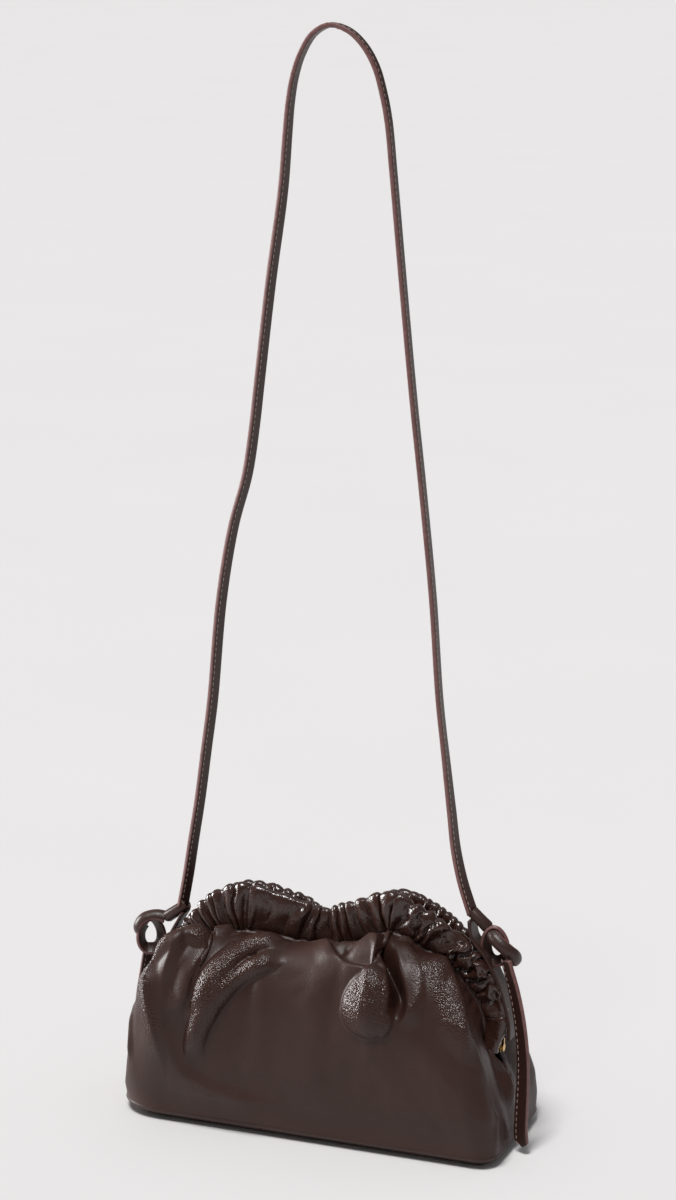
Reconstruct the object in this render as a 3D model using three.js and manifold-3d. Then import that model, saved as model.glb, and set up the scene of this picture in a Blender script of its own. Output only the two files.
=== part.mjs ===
// Cloud pouch bag: a small gathered shoulder pouch of soft leather on a long thin strap.
// Units are millimetres. +X runs along the bag, -Y is its front and +Z is up. While it is built,
// the bag stands on the plane z = 0. At the end it is lowered so that the origin is the middle of
// the strap's top, where the bag hangs.
import * as THREE from 'three';
import { mergeVertices } from 'three/addons/utils/BufferGeometryUtils.js';
import Module from 'manifold-3d';

// Body of the pouch
const baseLeft = 137;
const baseRight = 131;
const baseDepth = 100;
const cornerLeft = 36;
const cornerRight = 16;
const soleInset = 3;
const soleRoll = 3;
const soleStep = 1;
const leatherWall = 2;
const frontBulge = 8;
const backBulge = 7;
const endBulge = 3;
const soleFlare = 0.2;
const lowerLift = 0.32;
const upperLift = 0.97;
const shoulderReach = 0.95;
const puffLean = 0.35;

// Inner frame's arch, which the channels cover
const frameSpan = 240;
const hingeHeight = 66;
const rimHeight = 167;
const channelDepth = 25;
const channelThickness = 8;
const mouthGap = 14;
const backDrop = 4;
const pleatDepth = 1.6;
const seamDrop = 1.4;
const seamForward = 1.5;
const pleats = 32;
const footTaper = 0.75;
const footDrop = 14;
const footShare = 0.05;
const frontTurn = 0.07;

// Folds of the body
const foldDepth = 11;
const gatherDepth = 4;
const frontGathers = 14;
const backGathers = 9;
const gatherStart = 0.7;

// Hinges
const hingeRadius = 2.6;
const hingeLength = 7;
const earThickness = 1.6;

// Strap, tabs, knots and tails
const strapWidth = 8.5;
const strapThickness = 3;
const tailWidth = 10;
const tabWidth = 14;
const tabThickness = 2.6;
const tabRoll = 3;
const tabFree = 14;
const tabLeanLeft = 5.3;
const tabLeanRight = 1.5;
const tabTopLeft = 131;
const tabTopRight = 152;
const knotWidth = 20;
const knotHeight = 29;
const knotWrap = 9;
const knotTilt = 22;
const wrapForward = 3.4;
const knotReachLeft = 20.8;
const knotReachRight = 20;
const knotDrop = 16;

// Clearances
const seamGap = 0.3;
const looseGap = 0.3;

// Leather and metal
const leatherBrown = 0x3b2a24;
const strapBrown = 0x4a2f2a;
const brassYellow = 0xb08d4a;

// The arch's middle line from the left foot to the right one. across is a share of half
// frameSpan, lift a share of the rise from hinges to rim, depth a share of channelDepth,
// and open a share of half mouthGap.
const archColumns = ['across', 'lift', 'depth', 'open'];
const archRows = [
  [-0.985, 0.06, 0.56, 0.05],
  [-0.985, 0.19, 0.60, 0.06],
  [-0.940, 0.31, 0.64, 0.10],
  [-0.865, 0.45, 0.70, 0.20],
  [-0.750, 0.60, 0.82, 0.55],
  [-0.630, 0.71, 1.08, 0.90],
  [-0.480, 0.77, 1.24, 1.00],
  [-0.250, 0.74, 1.14, 0.60],
  [-0.010, 0.69, 0.96, 0.10],
  [0.170, 0.76, 1.00, 0.55],
  [0.390, 0.87, 1.00, 1.00],
  [0.510, 0.83, 0.98, 0.95],
  [0.620, 0.76, 0.94, 0.80],
  [0.735, 0.67, 0.85, 0.55],
  [0.800, 0.60, 0.78, 0.40],
  [0.890, 0.47, 0.70, 0.20],
  [0.960, 0.32, 0.64, 0.10],
  [0.985, 0.19, 0.60, 0.06],
  [0.985, 0.06, 0.56, 0.05],
];

// Ridges (height above 0) and creases (below 0) of the front and the back. Points are
// across and up, as shares of half the body's length and of rimHeight. height is a share of
// foldDepth, and left and right are the widths of its two slopes as shares of baseDepth.
const foldColumns = ['panel', 'height', 'left', 'right', 'points'];
const foldRows = [
  ['front', 0.75, 0.13, 0.16, [[-0.72, 0.82], [-0.83, 0.64], [-0.87, 0.55], [-0.84, 0.42], [-0.74, 0.13]]],
  ['front', -0.85, 0.12, 0.10, [[-0.50, 0.76], [-0.65, 0.62], [-0.70, 0.50], [-0.76, 0.42]]],
  ['front', 0.65, 0.10, 0.18, [
    [-0.34, 0.80], [-0.54, 0.75], [-0.66, 0.62], [-0.71, 0.46], [-0.66, 0.28], [-0.50, 0.14],
  ]],
  ['front', 0.75, 0.12, 0.11, [[-0.12, 0.75], [-0.30, 0.69], [-0.46, 0.62], [-0.55, 0.50], [-0.56, 0.34]]],
  ['front', -0.35, 0.16, 0.20, [[-0.20, 0.58], [-0.28, 0.42], [-0.22, 0.26]]],
  ['front', 0.60, 0.10, 0.13, [[0.10, 0.80], [0.20, 0.74], [0.32, 0.75]]],
  ['front', 0.95, 0.14, 0.15, [[0.34, 0.76], [0.32, 0.66], [0.34, 0.56]]],
  ['front', -1.15, 0.09, 0.09, [[0.35, 0.84], [0.43, 0.74], [0.49, 0.60]]],
  ['front', 0.75, 0.08, 0.14, [[0.52, 0.82], [0.56, 0.72], [0.56, 0.60]]],
  ['front', 0.70, 0.20, 0.10, [[0.60, 0.84], [0.72, 0.74], [0.80, 0.62], [0.85, 0.48]]],
  ['front', 0.35, 0.14, 0.12, [[0.93, 0.40], [0.95, 0.24]]],
  ['back', 0.70, 0.16, 0.14, [[-0.62, 0.80], [-0.74, 0.60], [-0.76, 0.40], [-0.64, 0.20]]],
  ['back', -0.80, 0.10, 0.12, [[-0.44, 0.80], [-0.54, 0.62], [-0.52, 0.44]]],
  ['back', 0.80, 0.16, 0.14, [[-0.22, 0.76], [-0.32, 0.60], [-0.34, 0.42], [-0.24, 0.26]]],
  ['back', -0.60, 0.12, 0.12, [[0.02, 0.74], [-0.04, 0.58], [0.02, 0.42]]],
  ['back', 0.80, 0.14, 0.16, [[0.26, 0.80], [0.24, 0.64], [0.32, 0.44]]],
  ['back', -0.85, 0.10, 0.12, [[0.46, 0.80], [0.50, 0.64], [0.44, 0.48]]],
  ['back', 0.75, 0.14, 0.14, [[0.62, 0.78], [0.74, 0.62], [0.78, 0.42]]],
];

// How the front's leather puffs over the channel's lower seam. place is a share of the way from the
// left foot to the right one, and up and out are shares of channelDepth.
const puffColumns = ['place', 'up', 'out'];
const puffRows = [
  [0.00, 0.0, 0.0],
  [0.06, 0.1, 0.0],
  [0.10, 1.0, 0.1],
  [0.16, 2.7, 0.2],
  [0.21, 3.0, 0.2],
  [0.28, 1.2, 0.2],
  [0.38, 0.4, 0.0],
  [0.50, 0.2, 0.0],
  [0.62, 0.9, 0.0],
  [0.70, 0.7, 0.0],
  [0.80, 0.6, 0.1],
  [0.90, 0.3, 0.2],
  [1.00, 0.0, 0.0],
];

// Steps of the faceted solids
const frontSteps = 56;
const backSteps = 36;
const bodyRows = 16;
const archSteps = 2 * pleats;
const archSides = 8;
const strapSteps = 74;
const tabSteps = 12;
const tailSteps = 10;

const halfLength = (baseLeft + baseRight) / 2;
const halfDepth = baseDepth / 2;
const frameRise = rimHeight - hingeHeight;

function rowsByName(columns, rows) {
  return rows.map((row) => Object.fromEntries(columns.map((name, i) => [name, row[i]])));
}

const arch = rowsByName(archColumns, archRows);
const folds = rowsByName(foldColumns, foldRows);
const puffs = rowsByName(puffColumns, puffRows);

function mix(a, b, share) {
  return a + (b - a) * share;
}

function smooth(share) {
  const s = Math.min(1, Math.max(0, share));
  return s * s * (3 - 2 * s);
}

// The puff at a place between the rows of its table
function puffAt(place) {
  const row = puffs.findIndex((next, i) => i > 0 && place <= next.place);
  const before = puffs[row - 1];
  const after = puffs[row];
  const part = smooth((place - before.place) / (after.place - before.place));
  return {
    up: mix(before.up, after.up, part) * channelDepth,
    out: mix(before.out, after.out, part) * channelDepth,
  };
}

// A closed body through rings of points, with both ends capped from their middles
function loft(rings) {
  const sides = rings[0].length;
  const points = rings.flat();
  for (const ring of [rings[0], rings[rings.length - 1]]) {
    points.push(ring.reduce((sum, p) => sum.add(p), new THREE.Vector3()).divideScalar(sides));
  }
  const faces = [];
  for (let r = 0; r + 1 < rings.length; r += 1) {
    for (let s = 0; s < sides; s += 1) {
      const a = r * sides + s;
      const b = r * sides + ((s + 1) % sides);
      faces.push(a, b, b + sides, a, b + sides, a + sides);
    }
  }
  const last = (rings.length - 1) * sides;
  for (let s = 0; s < sides; s += 1) {
    const next = (s + 1) % sides;
    faces.push(points.length - 2, next, s);
    faces.push(points.length - 1, last + s, last + next);
  }
  const geometry = new THREE.BufferGeometry();
  const places = points.flatMap((p) => p.toArray());
  geometry.setAttribute('position', new THREE.Float32BufferAttribute(places, 3));
  geometry.setIndex(faces);
  return geometry;
}

// The arch's middle line, with its channel's half height and its distance from y = 0
const archCurve = new THREE.CatmullRomCurve3(
  arch.map((row) => new THREE.Vector3(row.across * frameSpan / 2, 0, hingeHeight + row.lift * frameRise)),
);

function archAt(share, side) {
  const place = archCurve.getUtoTmapping(share) * (arch.length - 1);
  const row = Math.min(arch.length - 2, Math.floor(place));
  const part = smooth(place - row);
  const depth = mix(arch[row].depth, arch[row + 1].depth, part) * channelDepth / 2;
  const open = mix(arch[row].open, arch[row + 1].open, part) * mouthGap / 2;
  const point = archCurve.getPointAt(share);
  point.z -= side > 0 ? backDrop * smooth((point.z - hingeHeight) / frameRise * 2 - 0.3) : 0;
  const along = archCurve.getTangentAt(share);
  const inward = new THREE.Vector3(along.z, 0, -along.x);
  return { point, inward, depth, offset: open + (channelThickness + seamGap) / 2 };
}

// Half of the base's outline from its left end round the front to its right end, by share of its
// length, with the direction that points out of it. side is -1 for the front and 1 for the back.
function baseAt(share, side) {
  const runs = [
    halfDepth - cornerLeft,
    cornerLeft * Math.PI / 2,
    baseLeft + baseRight - cornerLeft - cornerRight,
    cornerRight * Math.PI / 2,
    halfDepth - cornerRight,
  ];
  let way = share * runs.reduce((sum, run) => sum + run, 0);
  let leg = 0;
  while (leg < runs.length - 1 && way > runs[leg]) {
    way -= runs[leg];
    leg += 1;
  }
  const corner = (x, radius, start) => {
    const angle = start + way / radius;
    const out = new THREE.Vector3(-Math.cos(angle), side * Math.sin(angle), 0);
    const middle = new THREE.Vector3(x, side * (halfDepth - radius), 0);
    return { point: middle.addScaledVector(out, radius), out };
  };
  if (leg === 0) {
    return { point: new THREE.Vector3(-baseLeft, side * way, 0), out: new THREE.Vector3(-1, 0, 0) };
  }
  if (leg === 1) {
    return corner(-baseLeft + cornerLeft, cornerLeft, 0);
  }
  if (leg === 2) {
    const x = -baseLeft + cornerLeft + way;
    return { point: new THREE.Vector3(x, side * halfDepth, 0), out: new THREE.Vector3(0, side, 0) };
  }
  if (leg === 3) {
    return corner(baseRight - cornerRight, cornerRight, Math.PI / 2);
  }
  const y = side * (halfDepth - cornerRight - way);
  return { point: new THREE.Vector3(baseRight, y, 0), out: new THREE.Vector3(1, 0, 0) };
}

// Where the body's wall ends below the channels: under the foot hinges at both ends, and along
// the channel's lower seam between them
function seamAt(share, side) {
  const inner = Math.min(1, Math.max(0, (share - footShare) / (1 - 2 * footShare)));
  const row = archAt(inner, side);
  const point = row.point.clone().addScaledVector(row.inward, row.depth + seamGap + seamDrop);
  const end = Math.min(share, 1 - share) / footShare;
  const out = new THREE.Vector3(0, side, 0);
  point.y = side * (row.offset + seamForward);
  if (end < 1) {
    const sign = share < 0.5 ? -1 : 1;
    const turn = smooth(end) * Math.PI / 2;
    const foot = new THREE.Vector3(row.point.x + sign * hingeRadius, 0, hingeHeight - footDrop);
    const seam = point.clone();
    point.x = mix(foot.x, seam.x, smooth(end));
    point.y *= Math.sin(turn);
    point.z = mix(foot.z, seam.z, end);
    out.set(sign * Math.cos(turn), side * Math.sin(turn), 0);
  }
  return { point, out };
}

// How far the folds lift a place of the front or the back panel
function foldLift(point, side) {
  const panel = side < 0 ? 'front' : 'back';
  let lift = 0;
  for (const fold of folds.filter((row) => row.panel === panel)) {
    const path = fold.points.map(([across, up]) => [across * halfLength, up * rimHeight]);
    let best = { distance: Infinity };
    for (let i = 0; i + 1 < path.length; i += 1) {
      const [ax, az] = path[i];
      const dx = path[i + 1][0] - ax;
      const dz = path[i + 1][1] - az;
      const reach = ((point.x - ax) * dx + (point.z - az) * dz) / (dx * dx + dz * dz);
      const along = Math.min(1, Math.max(0, reach));
      const offX = point.x - ax - along * dx;
      const offZ = point.z - az - along * dz;
      const distance = Math.hypot(offX, offZ);
      if (distance < best.distance) {
        const right = offX * dz - offZ * dx < 0;
        best = { distance, right, share: (i + along) / (path.length - 1) };
      }
    }
    const width = (best.right ? fold.right : fold.left) * baseDepth;
    const slope = smooth(1 - best.distance / width);
    const ends = smooth(Math.min(best.share, 1 - best.share) * 4 + 0.35);
    lift += fold.height * foldDepth * slope * ends;
  }
  return lift;
}

// A place on the outside of the body before its folds: share runs along one side and rise goes
// from the sole to the seam
function plainBody(share, rise, side) {
  const base = baseAt(share, side);
  const seam = seamAt(share, side);
  const facing = Math.abs(base.out.y);
  const low = mix(endBulge, side < 0 ? frontBulge : backBulge, facing);
  const start = base.point.clone().addScaledVector(base.out, low * soleFlare);
  const wallTop = seam.point.clone().addScaledVector(seam.out, leatherWall / 2);
  const lower = base.point.clone().addScaledVector(base.out, low * 2);
  lower.z = seam.point.z * lowerLift;
  const inboard = Math.min(share, 1 - share);
  const atFoot = mix(endBulge, channelThickness * 1.5, inboard / footShare);
  const reach = mix(atFoot, halfDepth * shoulderReach, smooth((inboard - footShare) / frontTurn));
  const upper = seam.point.clone().addScaledVector(seam.out, inboard < footShare ? atFoot : reach);
  upper.z = seam.point.z * upperLift;
  if (side < 0) {
    const puff = puffAt(share);
    upper.z += puff.up;
    upper.y += side * puff.up * puffLean;
    upper.x += (share < 0.5 ? -1 : 1) * puff.out;
  }
  start.z = 0;
  const u = 1 - rise;
  return new THREE.Vector3()
    .addScaledVector(start, u * u * u)
    .addScaledVector(lower, 3 * u * u * rise)
    .addScaledVector(upper, 3 * u * rise * rise)
    .addScaledVector(wallTop, rise * rise * rise);
}

function plainNormal(share, rise, side) {
  const step = 0.004;
  const left = plainBody(Math.max(0, share - step), rise, side);
  const right = plainBody(Math.min(1, share + step), rise, side);
  const below = plainBody(share, Math.max(0, rise - step), side);
  const above = plainBody(share, Math.min(1, rise + step), side);
  const normal = right.sub(left).cross(above.sub(below)).normalize();
  return side < 0 ? normal : normal.negate();
}

// The folded outside of the body
function bodyAt(share, rise, side) {
  const point = plainBody(share, rise, side);
  const normal = plainNormal(share, rise, side);
  const facing = smooth(Math.abs(normal.y) * 1.6);
  const hold = smooth((1 - rise) * 7) * smooth(rise * 6);
  const gathers = side < 0 ? frontGathers : backGathers;
  const wave = Math.cos(share * gathers * 2 * Math.PI) * gatherDepth;
  const gather = wave * smooth((rise - gatherStart) / 0.2) * smooth((1 - rise) * 12);
  const ends = smooth(Math.min(share, 1 - share) * 10);
  return point.addScaledVector(normal, (foldLift(point, side) * hold + gather) * facing * ends);
}

// The body: an outer and an inner skin that meet along the mouth, closed by the sole
function pouchShell() {
  const columns = [];
  for (let i = 0; i < frontSteps; i += 1) {
    columns.push({ share: i / frontSteps, side: -1 });
  }
  for (let i = 0; i < backSteps; i += 1) {
    columns.push({ share: 1 - i / backSteps, side: 1 });
  }
  const outer = [];
  for (let r = 0; r <= bodyRows; r += 1) {
    outer.push(columns.map(({ share, side }) => bodyAt(share, r / bodyRows, side)));
  }
  const count = columns.length;
  const inner = outer.map((ring, r) => ring.map((point, i) => {
    const { share, side } = columns[i];
    const out = new THREE.Vector3();
    if (r === bodyRows) {
      out.copy(seamAt(share, side).out);
    } else {
      const across = ring[(i + 1) % count].clone().sub(ring[(i + count - 1) % count]);
      const up = outer[Math.min(bodyRows, r + 1)][i].clone().sub(outer[Math.max(0, r - 1)][i]);
      out.crossVectors(across, up).normalize();
    }
    const place = point.clone().addScaledVector(out, -leatherWall);
    place.z = Math.max(leatherWall, place.z);
    return place;
  }));
  const sole = outer[0].map((point, i) => {
    const { share, side } = columns[i];
    return point.clone().addScaledVector(baseAt(share, side).out, -soleInset);
  });
  outer[0] = outer[0].map((point) => point.clone().setZ(soleRoll));
  const rise = outer.map((ring, r) => (r === 0 ? ring : ring.map((point) => {
    const lowest = soleRoll + (1 + r) * soleStep;
    return point.z < lowest ? point.clone().setZ(lowest) : point;
  })));
  return loft([sole, ...rise, ...inner.reverse()]);
}

// A ruched channel: a flat tube along the arch whose outside rises and falls with its pleats
function rimChannel(side) {
  const rings = [];
  for (let i = 0; i <= archSteps; i += 1) {
    const share = i / archSteps;
    const row = archAt(share, side);
    const pleat = Math.cos(share * pleats * 2 * Math.PI) * pleatDepth / 2;
    const ends = mix(footTaper, 1, smooth(Math.min(share, 1 - share) / footShare));
    const ring = [];
    for (let s = 0; s < archSides; s += 1) {
      const angle = (s + 0.5) / archSides * 2 * Math.PI;
      const down = Math.cos(angle);
      const out = Math.sin(angle);
      const depth = (row.depth + (down < 0 ? pleat : 0)) * ends;
      const thick = (channelThickness / 2 + (out > 0 ? pleat : 0)) * ends;
      const wide = Math.sign(out) * Math.abs(out) ** 0.6;
      const tall = Math.sign(down) * Math.abs(down) ** 0.8;
      const place = row.point.clone().addScaledVector(row.inward, tall * depth);
      place.y = side * (row.offset + wide * thick);
      ring.push(place);
    }
    rings.push(side < 0 ? ring.reverse() : ring);
  }
  return loft(rings);
}

const wasm = await Module();
wasm.setup();

function toSolid(geometry) {
  const bare = geometry.clone();
  bare.deleteAttribute('normal');
  bare.deleteAttribute('uv');
  const merged = mergeVertices(bare, 0.001);
  return new wasm.Manifold(new wasm.Mesh({
    numProp: 3,
    vertProperties: new Float32Array(merged.attributes.position.array),
    triVerts: new Uint32Array(merged.index.array),
  }));
}

function toGeometry(solid) {
  const mesh = solid.getMesh();
  const geometry = new THREE.BufferGeometry();
  const places = new Float32Array(mesh.vertProperties);
  geometry.setAttribute('position', new THREE.BufferAttribute(places, 3));
  geometry.setIndex(new THREE.BufferAttribute(new Uint32Array(mesh.triVerts), 1));
  return geometry;
}

function fuse(geometries) {
  return toGeometry(geometries.map(toSolid).reduce((whole, solid) => whole.add(solid)));
}

// A flat strip's section with its edges taken off. It lies flat across the bag's depth, or turned
// to face the front.
function strapSection(width, thickness, turned) {
  const edge = thickness / 4;
  const corners = [
    [-width / 2 + edge, -thickness / 2], [width / 2 - edge, -thickness / 2],
    [width / 2, -edge], [width / 2, edge],
    [width / 2 - edge, thickness / 2], [-width / 2 + edge, thickness / 2],
    [-width / 2, edge], [-width / 2, -edge],
  ];
  const placed = corners.map(([x, y]) => (turned ? [-y, x] : [x, y]));
  return new THREE.Shape(placed.map(([x, y]) => new THREE.Vector2(x, y)));
}

function stripAlong(points, width, thickness, steps, turned = false) {
  const extrudePath = new THREE.CatmullRomCurve3(points);
  const section = strapSection(width, thickness, turned);
  return new THREE.ExtrudeGeometry(section, { steps, extrudePath, bevelEnabled: false });
}

// The strap's route, chosen by hand: x and z of its middle line, from the left tab to the right
const strapRoute = [
  [-107.6, 134.4], [-103, 158], [-99, 182], [-94, 211], [-89, 246], [-84, 281], [-77, 350], [-68, 400],
  [-58, 435], [-53, 465], [-49, 497], [-41, 560], [-32, 621], [-29, 655], [-27, 675], [-24, 691],
  [-19, 705], [-11, 717], [0, 722.5], [12, 719.5], [22, 711], [30, 698], [35, 682], [38.5, 665],
  [42, 632], [49, 560], [56, 491], [63, 430], [70, 363], [75, 297], [80, 255], [84, 222], [87, 198],
  [92, 176], [99, 155.4],
];

// The tails' routes, chosen by hand: x, y and z, from the knot to the pointed end
const tailRoutes = {
  left: [[-133.5, 4, 101], [-138, 7, 82], [-143, 11, 62], [-145.5, 13, 42], [-146, 14, 22],
    [-145.5, 14, 5]],
  right: [[127, -8.6, 122.8], [131, -9.5, 110], [135.5, -11, 91], [138.7, -12.5, 67], [139.3, -13.5, 49],
    [139, -14.5, 32], [138.8, -15, 15], [140, -15.2, 5]],
};

// The wrap's two ends from the knot's middle: across away from the bag as a share of knotWidth, and
// up as a share of knotHeight
const knotWrapRows = [
  [-0.25, 0.15],
  [0.55, -0.30],
];

function strapBody() {
  const points = strapRoute.map(([x, z]) => new THREE.Vector3(x, 0, z));
  return stripAlong(points, strapWidth, strapThickness, strapSteps);
}

function tail(side) {
  const points = tailRoutes[side].map((place) => new THREE.Vector3(...place));
  return stripAlong(points, tailWidth, strapThickness, tailSteps, true);
}

// The outer edge of the channels at a share of the arch, moved outwards by a distance
function besideArch(share, distance) {
  const row = archAt(share);
  return row.point.clone().addScaledVector(row.inward, -(row.depth + pleatDepth / 2 + distance));
}

// The share of the arch, counted from one foot, where its outer edge reaches a height
function shareAtHeight(height, sign) {
  let low = 0;
  let high = 0.3;
  while (high - low > 1e-4) {
    const middle = (low + high) / 2;
    if (besideArch(sign < 0 ? middle : 1 - middle, 0).z < height) {
      low = middle;
    } else {
      high = middle;
    }
  }
  return low;
}

// A tab: a flat leather strip up the ends of the channels, which stands free above them and is
// rolled over at its top to hold the strap
function tabLine(sign) {
  const distance = looseGap + tabThickness / 2;
  const height = sign < 0 ? tabTopLeft : tabTopRight;
  const leave = shareAtHeight(height - tabFree, sign);
  const points = [];
  for (let i = 0; i <= 6; i += 1) {
    const share = leave * i / 6;
    points.push(besideArch(sign < 0 ? share : 1 - share, distance));
  }
  const last = points[points.length - 1];
  const lean = sign < 0 ? tabLeanLeft : -tabLeanRight;
  points.push(new THREE.Vector3(last.x + lean * 0.6, 0, (last.z + height) / 2));
  points.push(new THREE.Vector3(last.x + lean, 0, height));
  return points;
}

function tab(sign) {
  const line = tabLine(sign);
  const top = line[line.length - 1];
  const roll = new THREE.CylinderGeometry(tabRoll, tabRoll, tabWidth, 12);
  roll.translate(top.x, 0, top.z);
  return fuse([stripAlong(line, tabWidth, tabThickness, tabSteps), roll]);
}

// A knot: the strap's loop round a hole, with its glossy wrap across the loop's lower half
function knot(sign) {
  const line = tabLine(sign);
  const top = line[line.length - 1];
  const reach = sign < 0 ? knotReachLeft : knotReachRight;
  const middle = new THREE.Vector3(top.x + sign * reach, 0, top.z - knotDrop);
  const shape = new THREE.Shape();
  shape.absellipse(0, 0, knotWidth / 2, knotHeight / 2, 0, 2 * Math.PI, false, 0);
  const hole = new THREE.Path();
  const inside = [knotWidth / 2 - strapThickness, knotHeight / 2 - strapThickness];
  hole.absellipse(0, 0, ...inside, 0, 2 * Math.PI, true, 0);
  shape.holes.push(hole);
  const width = { depth: strapWidth, bevelEnabled: false, curveSegments: 10 };
  const ring = new THREE.ExtrudeGeometry(shape, width);
  ring.translate(0, 0, -strapWidth / 2);
  ring.rotateX(Math.PI / 2);
  ring.rotateY(-sign * knotTilt * Math.PI / 180);
  ring.translate(middle.x, middle.y, middle.z);
  const [from, to] = knotWrapRows.map(([across, up]) => new THREE.Vector3(
    middle.x + sign * across * knotWidth,
    -wrapForward,
    middle.z + up * knotHeight,
  ));
  const wrap = new THREE.CapsuleGeometry(knotWrap / 2, from.distanceTo(to), 3, 10);
  const turn = new THREE.Quaternion().setFromUnitVectors(
    new THREE.Vector3(0, 1, 0),
    to.clone().sub(from).normalize(),
  );
  wrap.applyQuaternion(turn);
  wrap.translate((from.x + to.x) / 2, from.y, (from.z + to.z) / 2);
  return fuse([ring, wrap]);
}

function hinge(sign) {
  const x = sign * frameSpan / 2 * Math.abs(arch[0].across);
  const foot = archAt(sign < 0 ? 0 : 1);
  const barrel = new THREE.CylinderGeometry(hingeRadius, hingeRadius, hingeLength, 16);
  barrel.rotateZ(Math.PI / 2);
  barrel.translate(x, 0, hingeHeight);
  const top = foot.point.z - looseGap;
  const bottom = hingeHeight - hingeRadius * 0.6;
  const ears = [-1, 1].map((side) => {
    const ear = new THREE.BoxGeometry(hingeLength * 0.7, earThickness, top - bottom);
    ear.translate(x, side * (foot.offset - earThickness / 2), (top + bottom) / 2);
    return ear;
  });
  const bridge = new THREE.BoxGeometry(hingeLength * 0.5, 2 * foot.offset - earThickness, hingeRadius);
  bridge.translate(x, 0, hingeHeight);
  return fuse([barrel, bridge, ...ears]);
}

function leather(color, roughness) {
  return new THREE.MeshStandardMaterial({ color, roughness, metalness: 0 });
}

const bag = new THREE.Group();

function addPiece(name, geometry, material) {
  const mesh = new THREE.Mesh(geometry, material);
  mesh.name = name;
  bag.add(mesh);
}

const bodyLeather = leather(leatherBrown, 0.4);
const strapLeather = leather(strapBrown, 0.5);
const brass = new THREE.MeshStandardMaterial({ color: brassYellow, roughness: 0.3, metalness: 1 });
addPiece('pouch_shell', pouchShell(), bodyLeather);
addPiece('rim_front', rimChannel(-1), bodyLeather);
addPiece('rim_back', rimChannel(1), bodyLeather);
addPiece('hinge_left', hinge(-1), brass);
addPiece('hinge_right', hinge(1), brass);
addPiece('tab_left', tab(-1), bodyLeather);
addPiece('tab_right', tab(1), bodyLeather);
addPiece('strap', strapBody(), strapLeather);
addPiece('knot_left', knot(-1), strapLeather);
addPiece('knot_right', knot(1), strapLeather);
addPiece('tail_left', tail('left'), strapLeather);
addPiece('tail_right', tail('right'), strapLeather);

const strapTop = Math.max(...strapRoute.map(([, z]) => z)) + strapThickness / 2;
bag.position.z = -strapTop;

export default bag;
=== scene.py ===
"""Cloud pouch bag: the leather, strap, knots and stitches of a small gathered shoulder pouch.

Sizes are metres in Blender. The tables below hold millimetres in the bag's own frame, whose plane
z = 0 is the floor that the bag stands on, and place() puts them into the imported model's frame.
"""

import math

import bpy
import numpy as np
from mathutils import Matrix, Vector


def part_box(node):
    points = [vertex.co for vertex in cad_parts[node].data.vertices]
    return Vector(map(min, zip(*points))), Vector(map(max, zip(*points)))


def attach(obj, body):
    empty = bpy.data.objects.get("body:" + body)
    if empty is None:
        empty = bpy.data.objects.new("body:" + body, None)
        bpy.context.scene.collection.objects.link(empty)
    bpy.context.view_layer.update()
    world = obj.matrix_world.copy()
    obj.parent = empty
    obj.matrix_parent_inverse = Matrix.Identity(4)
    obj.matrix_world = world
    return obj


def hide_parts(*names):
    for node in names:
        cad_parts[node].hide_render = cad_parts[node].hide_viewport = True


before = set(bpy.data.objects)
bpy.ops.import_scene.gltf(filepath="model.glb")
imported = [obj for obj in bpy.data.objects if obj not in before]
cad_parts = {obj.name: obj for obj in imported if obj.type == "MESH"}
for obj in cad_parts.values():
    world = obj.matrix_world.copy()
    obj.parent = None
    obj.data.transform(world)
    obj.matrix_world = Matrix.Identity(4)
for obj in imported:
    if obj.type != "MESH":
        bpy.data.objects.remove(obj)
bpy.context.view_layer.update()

bl_info = {
    "name": "Cloud pouch bag",
    "version": (1, 0, 0),
    "blender": (4, 5, 0),
    "location": "View3D > Sidebar > Pouch",
    "description": "Makes the leather, strap and stitches of a gathered shoulder pouch",
    "category": "Add Mesh",
}

MM = 0.001
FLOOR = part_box("pouch_shell")[0].z

# The body's own sizes, in millimetres
BASE_LEFT, BASE_RIGHT, BASE_DEPTH = 137.0, 131.0, 100.0
CORNER_LEFT, CORNER_RIGHT = 36.0, 16.0
CORNER_SQUARE = 0.78
FRONT_BULGE, BACK_BULGE, END_BULGE = 8.0, 7.0, 3.0
SOLE_FLARE, LOWER_LIFT, UPPER_LIFT = 0.2, 0.32, 0.97
SHOULDER_REACH, PUFF_LEAN = 0.95, 0.35
FRAME_SPAN, HINGE_HEIGHT, RIM_HEIGHT = 240.0, 66.0, 167.0
CHANNEL_DEPTH, CHANNEL_THICKNESS = 25.0, 8.0
MOUTH_GAP, BACK_DROP = 14.0, 4.0
SEAM_GAP, SEAM_DROP, SEAM_FORWARD = 0.3, 1.4, 1.5
FOOT_DROP, FOOT_SHARE, FRONT_TURN = 14.0, 0.05, 0.07
HINGE_RADIUS, LEATHER_WALL = 2.6, 2.0

# The arch's middle line: across (half spans), lift (rises), depth (channel depths), open (gaps)
ARCH_ROWS = np.array([
    (-0.985, 0.06, 0.56, 0.05), (-0.985, 0.19, 0.60, 0.06), (-0.940, 0.31, 0.64, 0.10),
    (-0.865, 0.45, 0.70, 0.20), (-0.750, 0.60, 0.82, 0.55), (-0.630, 0.71, 1.08, 0.90),
    (-0.480, 0.77, 1.24, 1.00), (-0.250, 0.74, 1.14, 0.60), (-0.010, 0.69, 0.96, 0.10),
    (0.170, 0.76, 1.00, 0.55), (0.390, 0.87, 1.00, 1.00), (0.510, 0.83, 0.98, 0.95),
    (0.620, 0.76, 0.94, 0.80), (0.735, 0.67, 0.85, 0.55), (0.800, 0.60, 0.78, 0.40),
    (0.890, 0.47, 0.70, 0.20), (0.960, 0.32, 0.64, 0.10), (0.985, 0.19, 0.60, 0.06),
    (0.985, 0.06, 0.56, 0.05),
])

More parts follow.
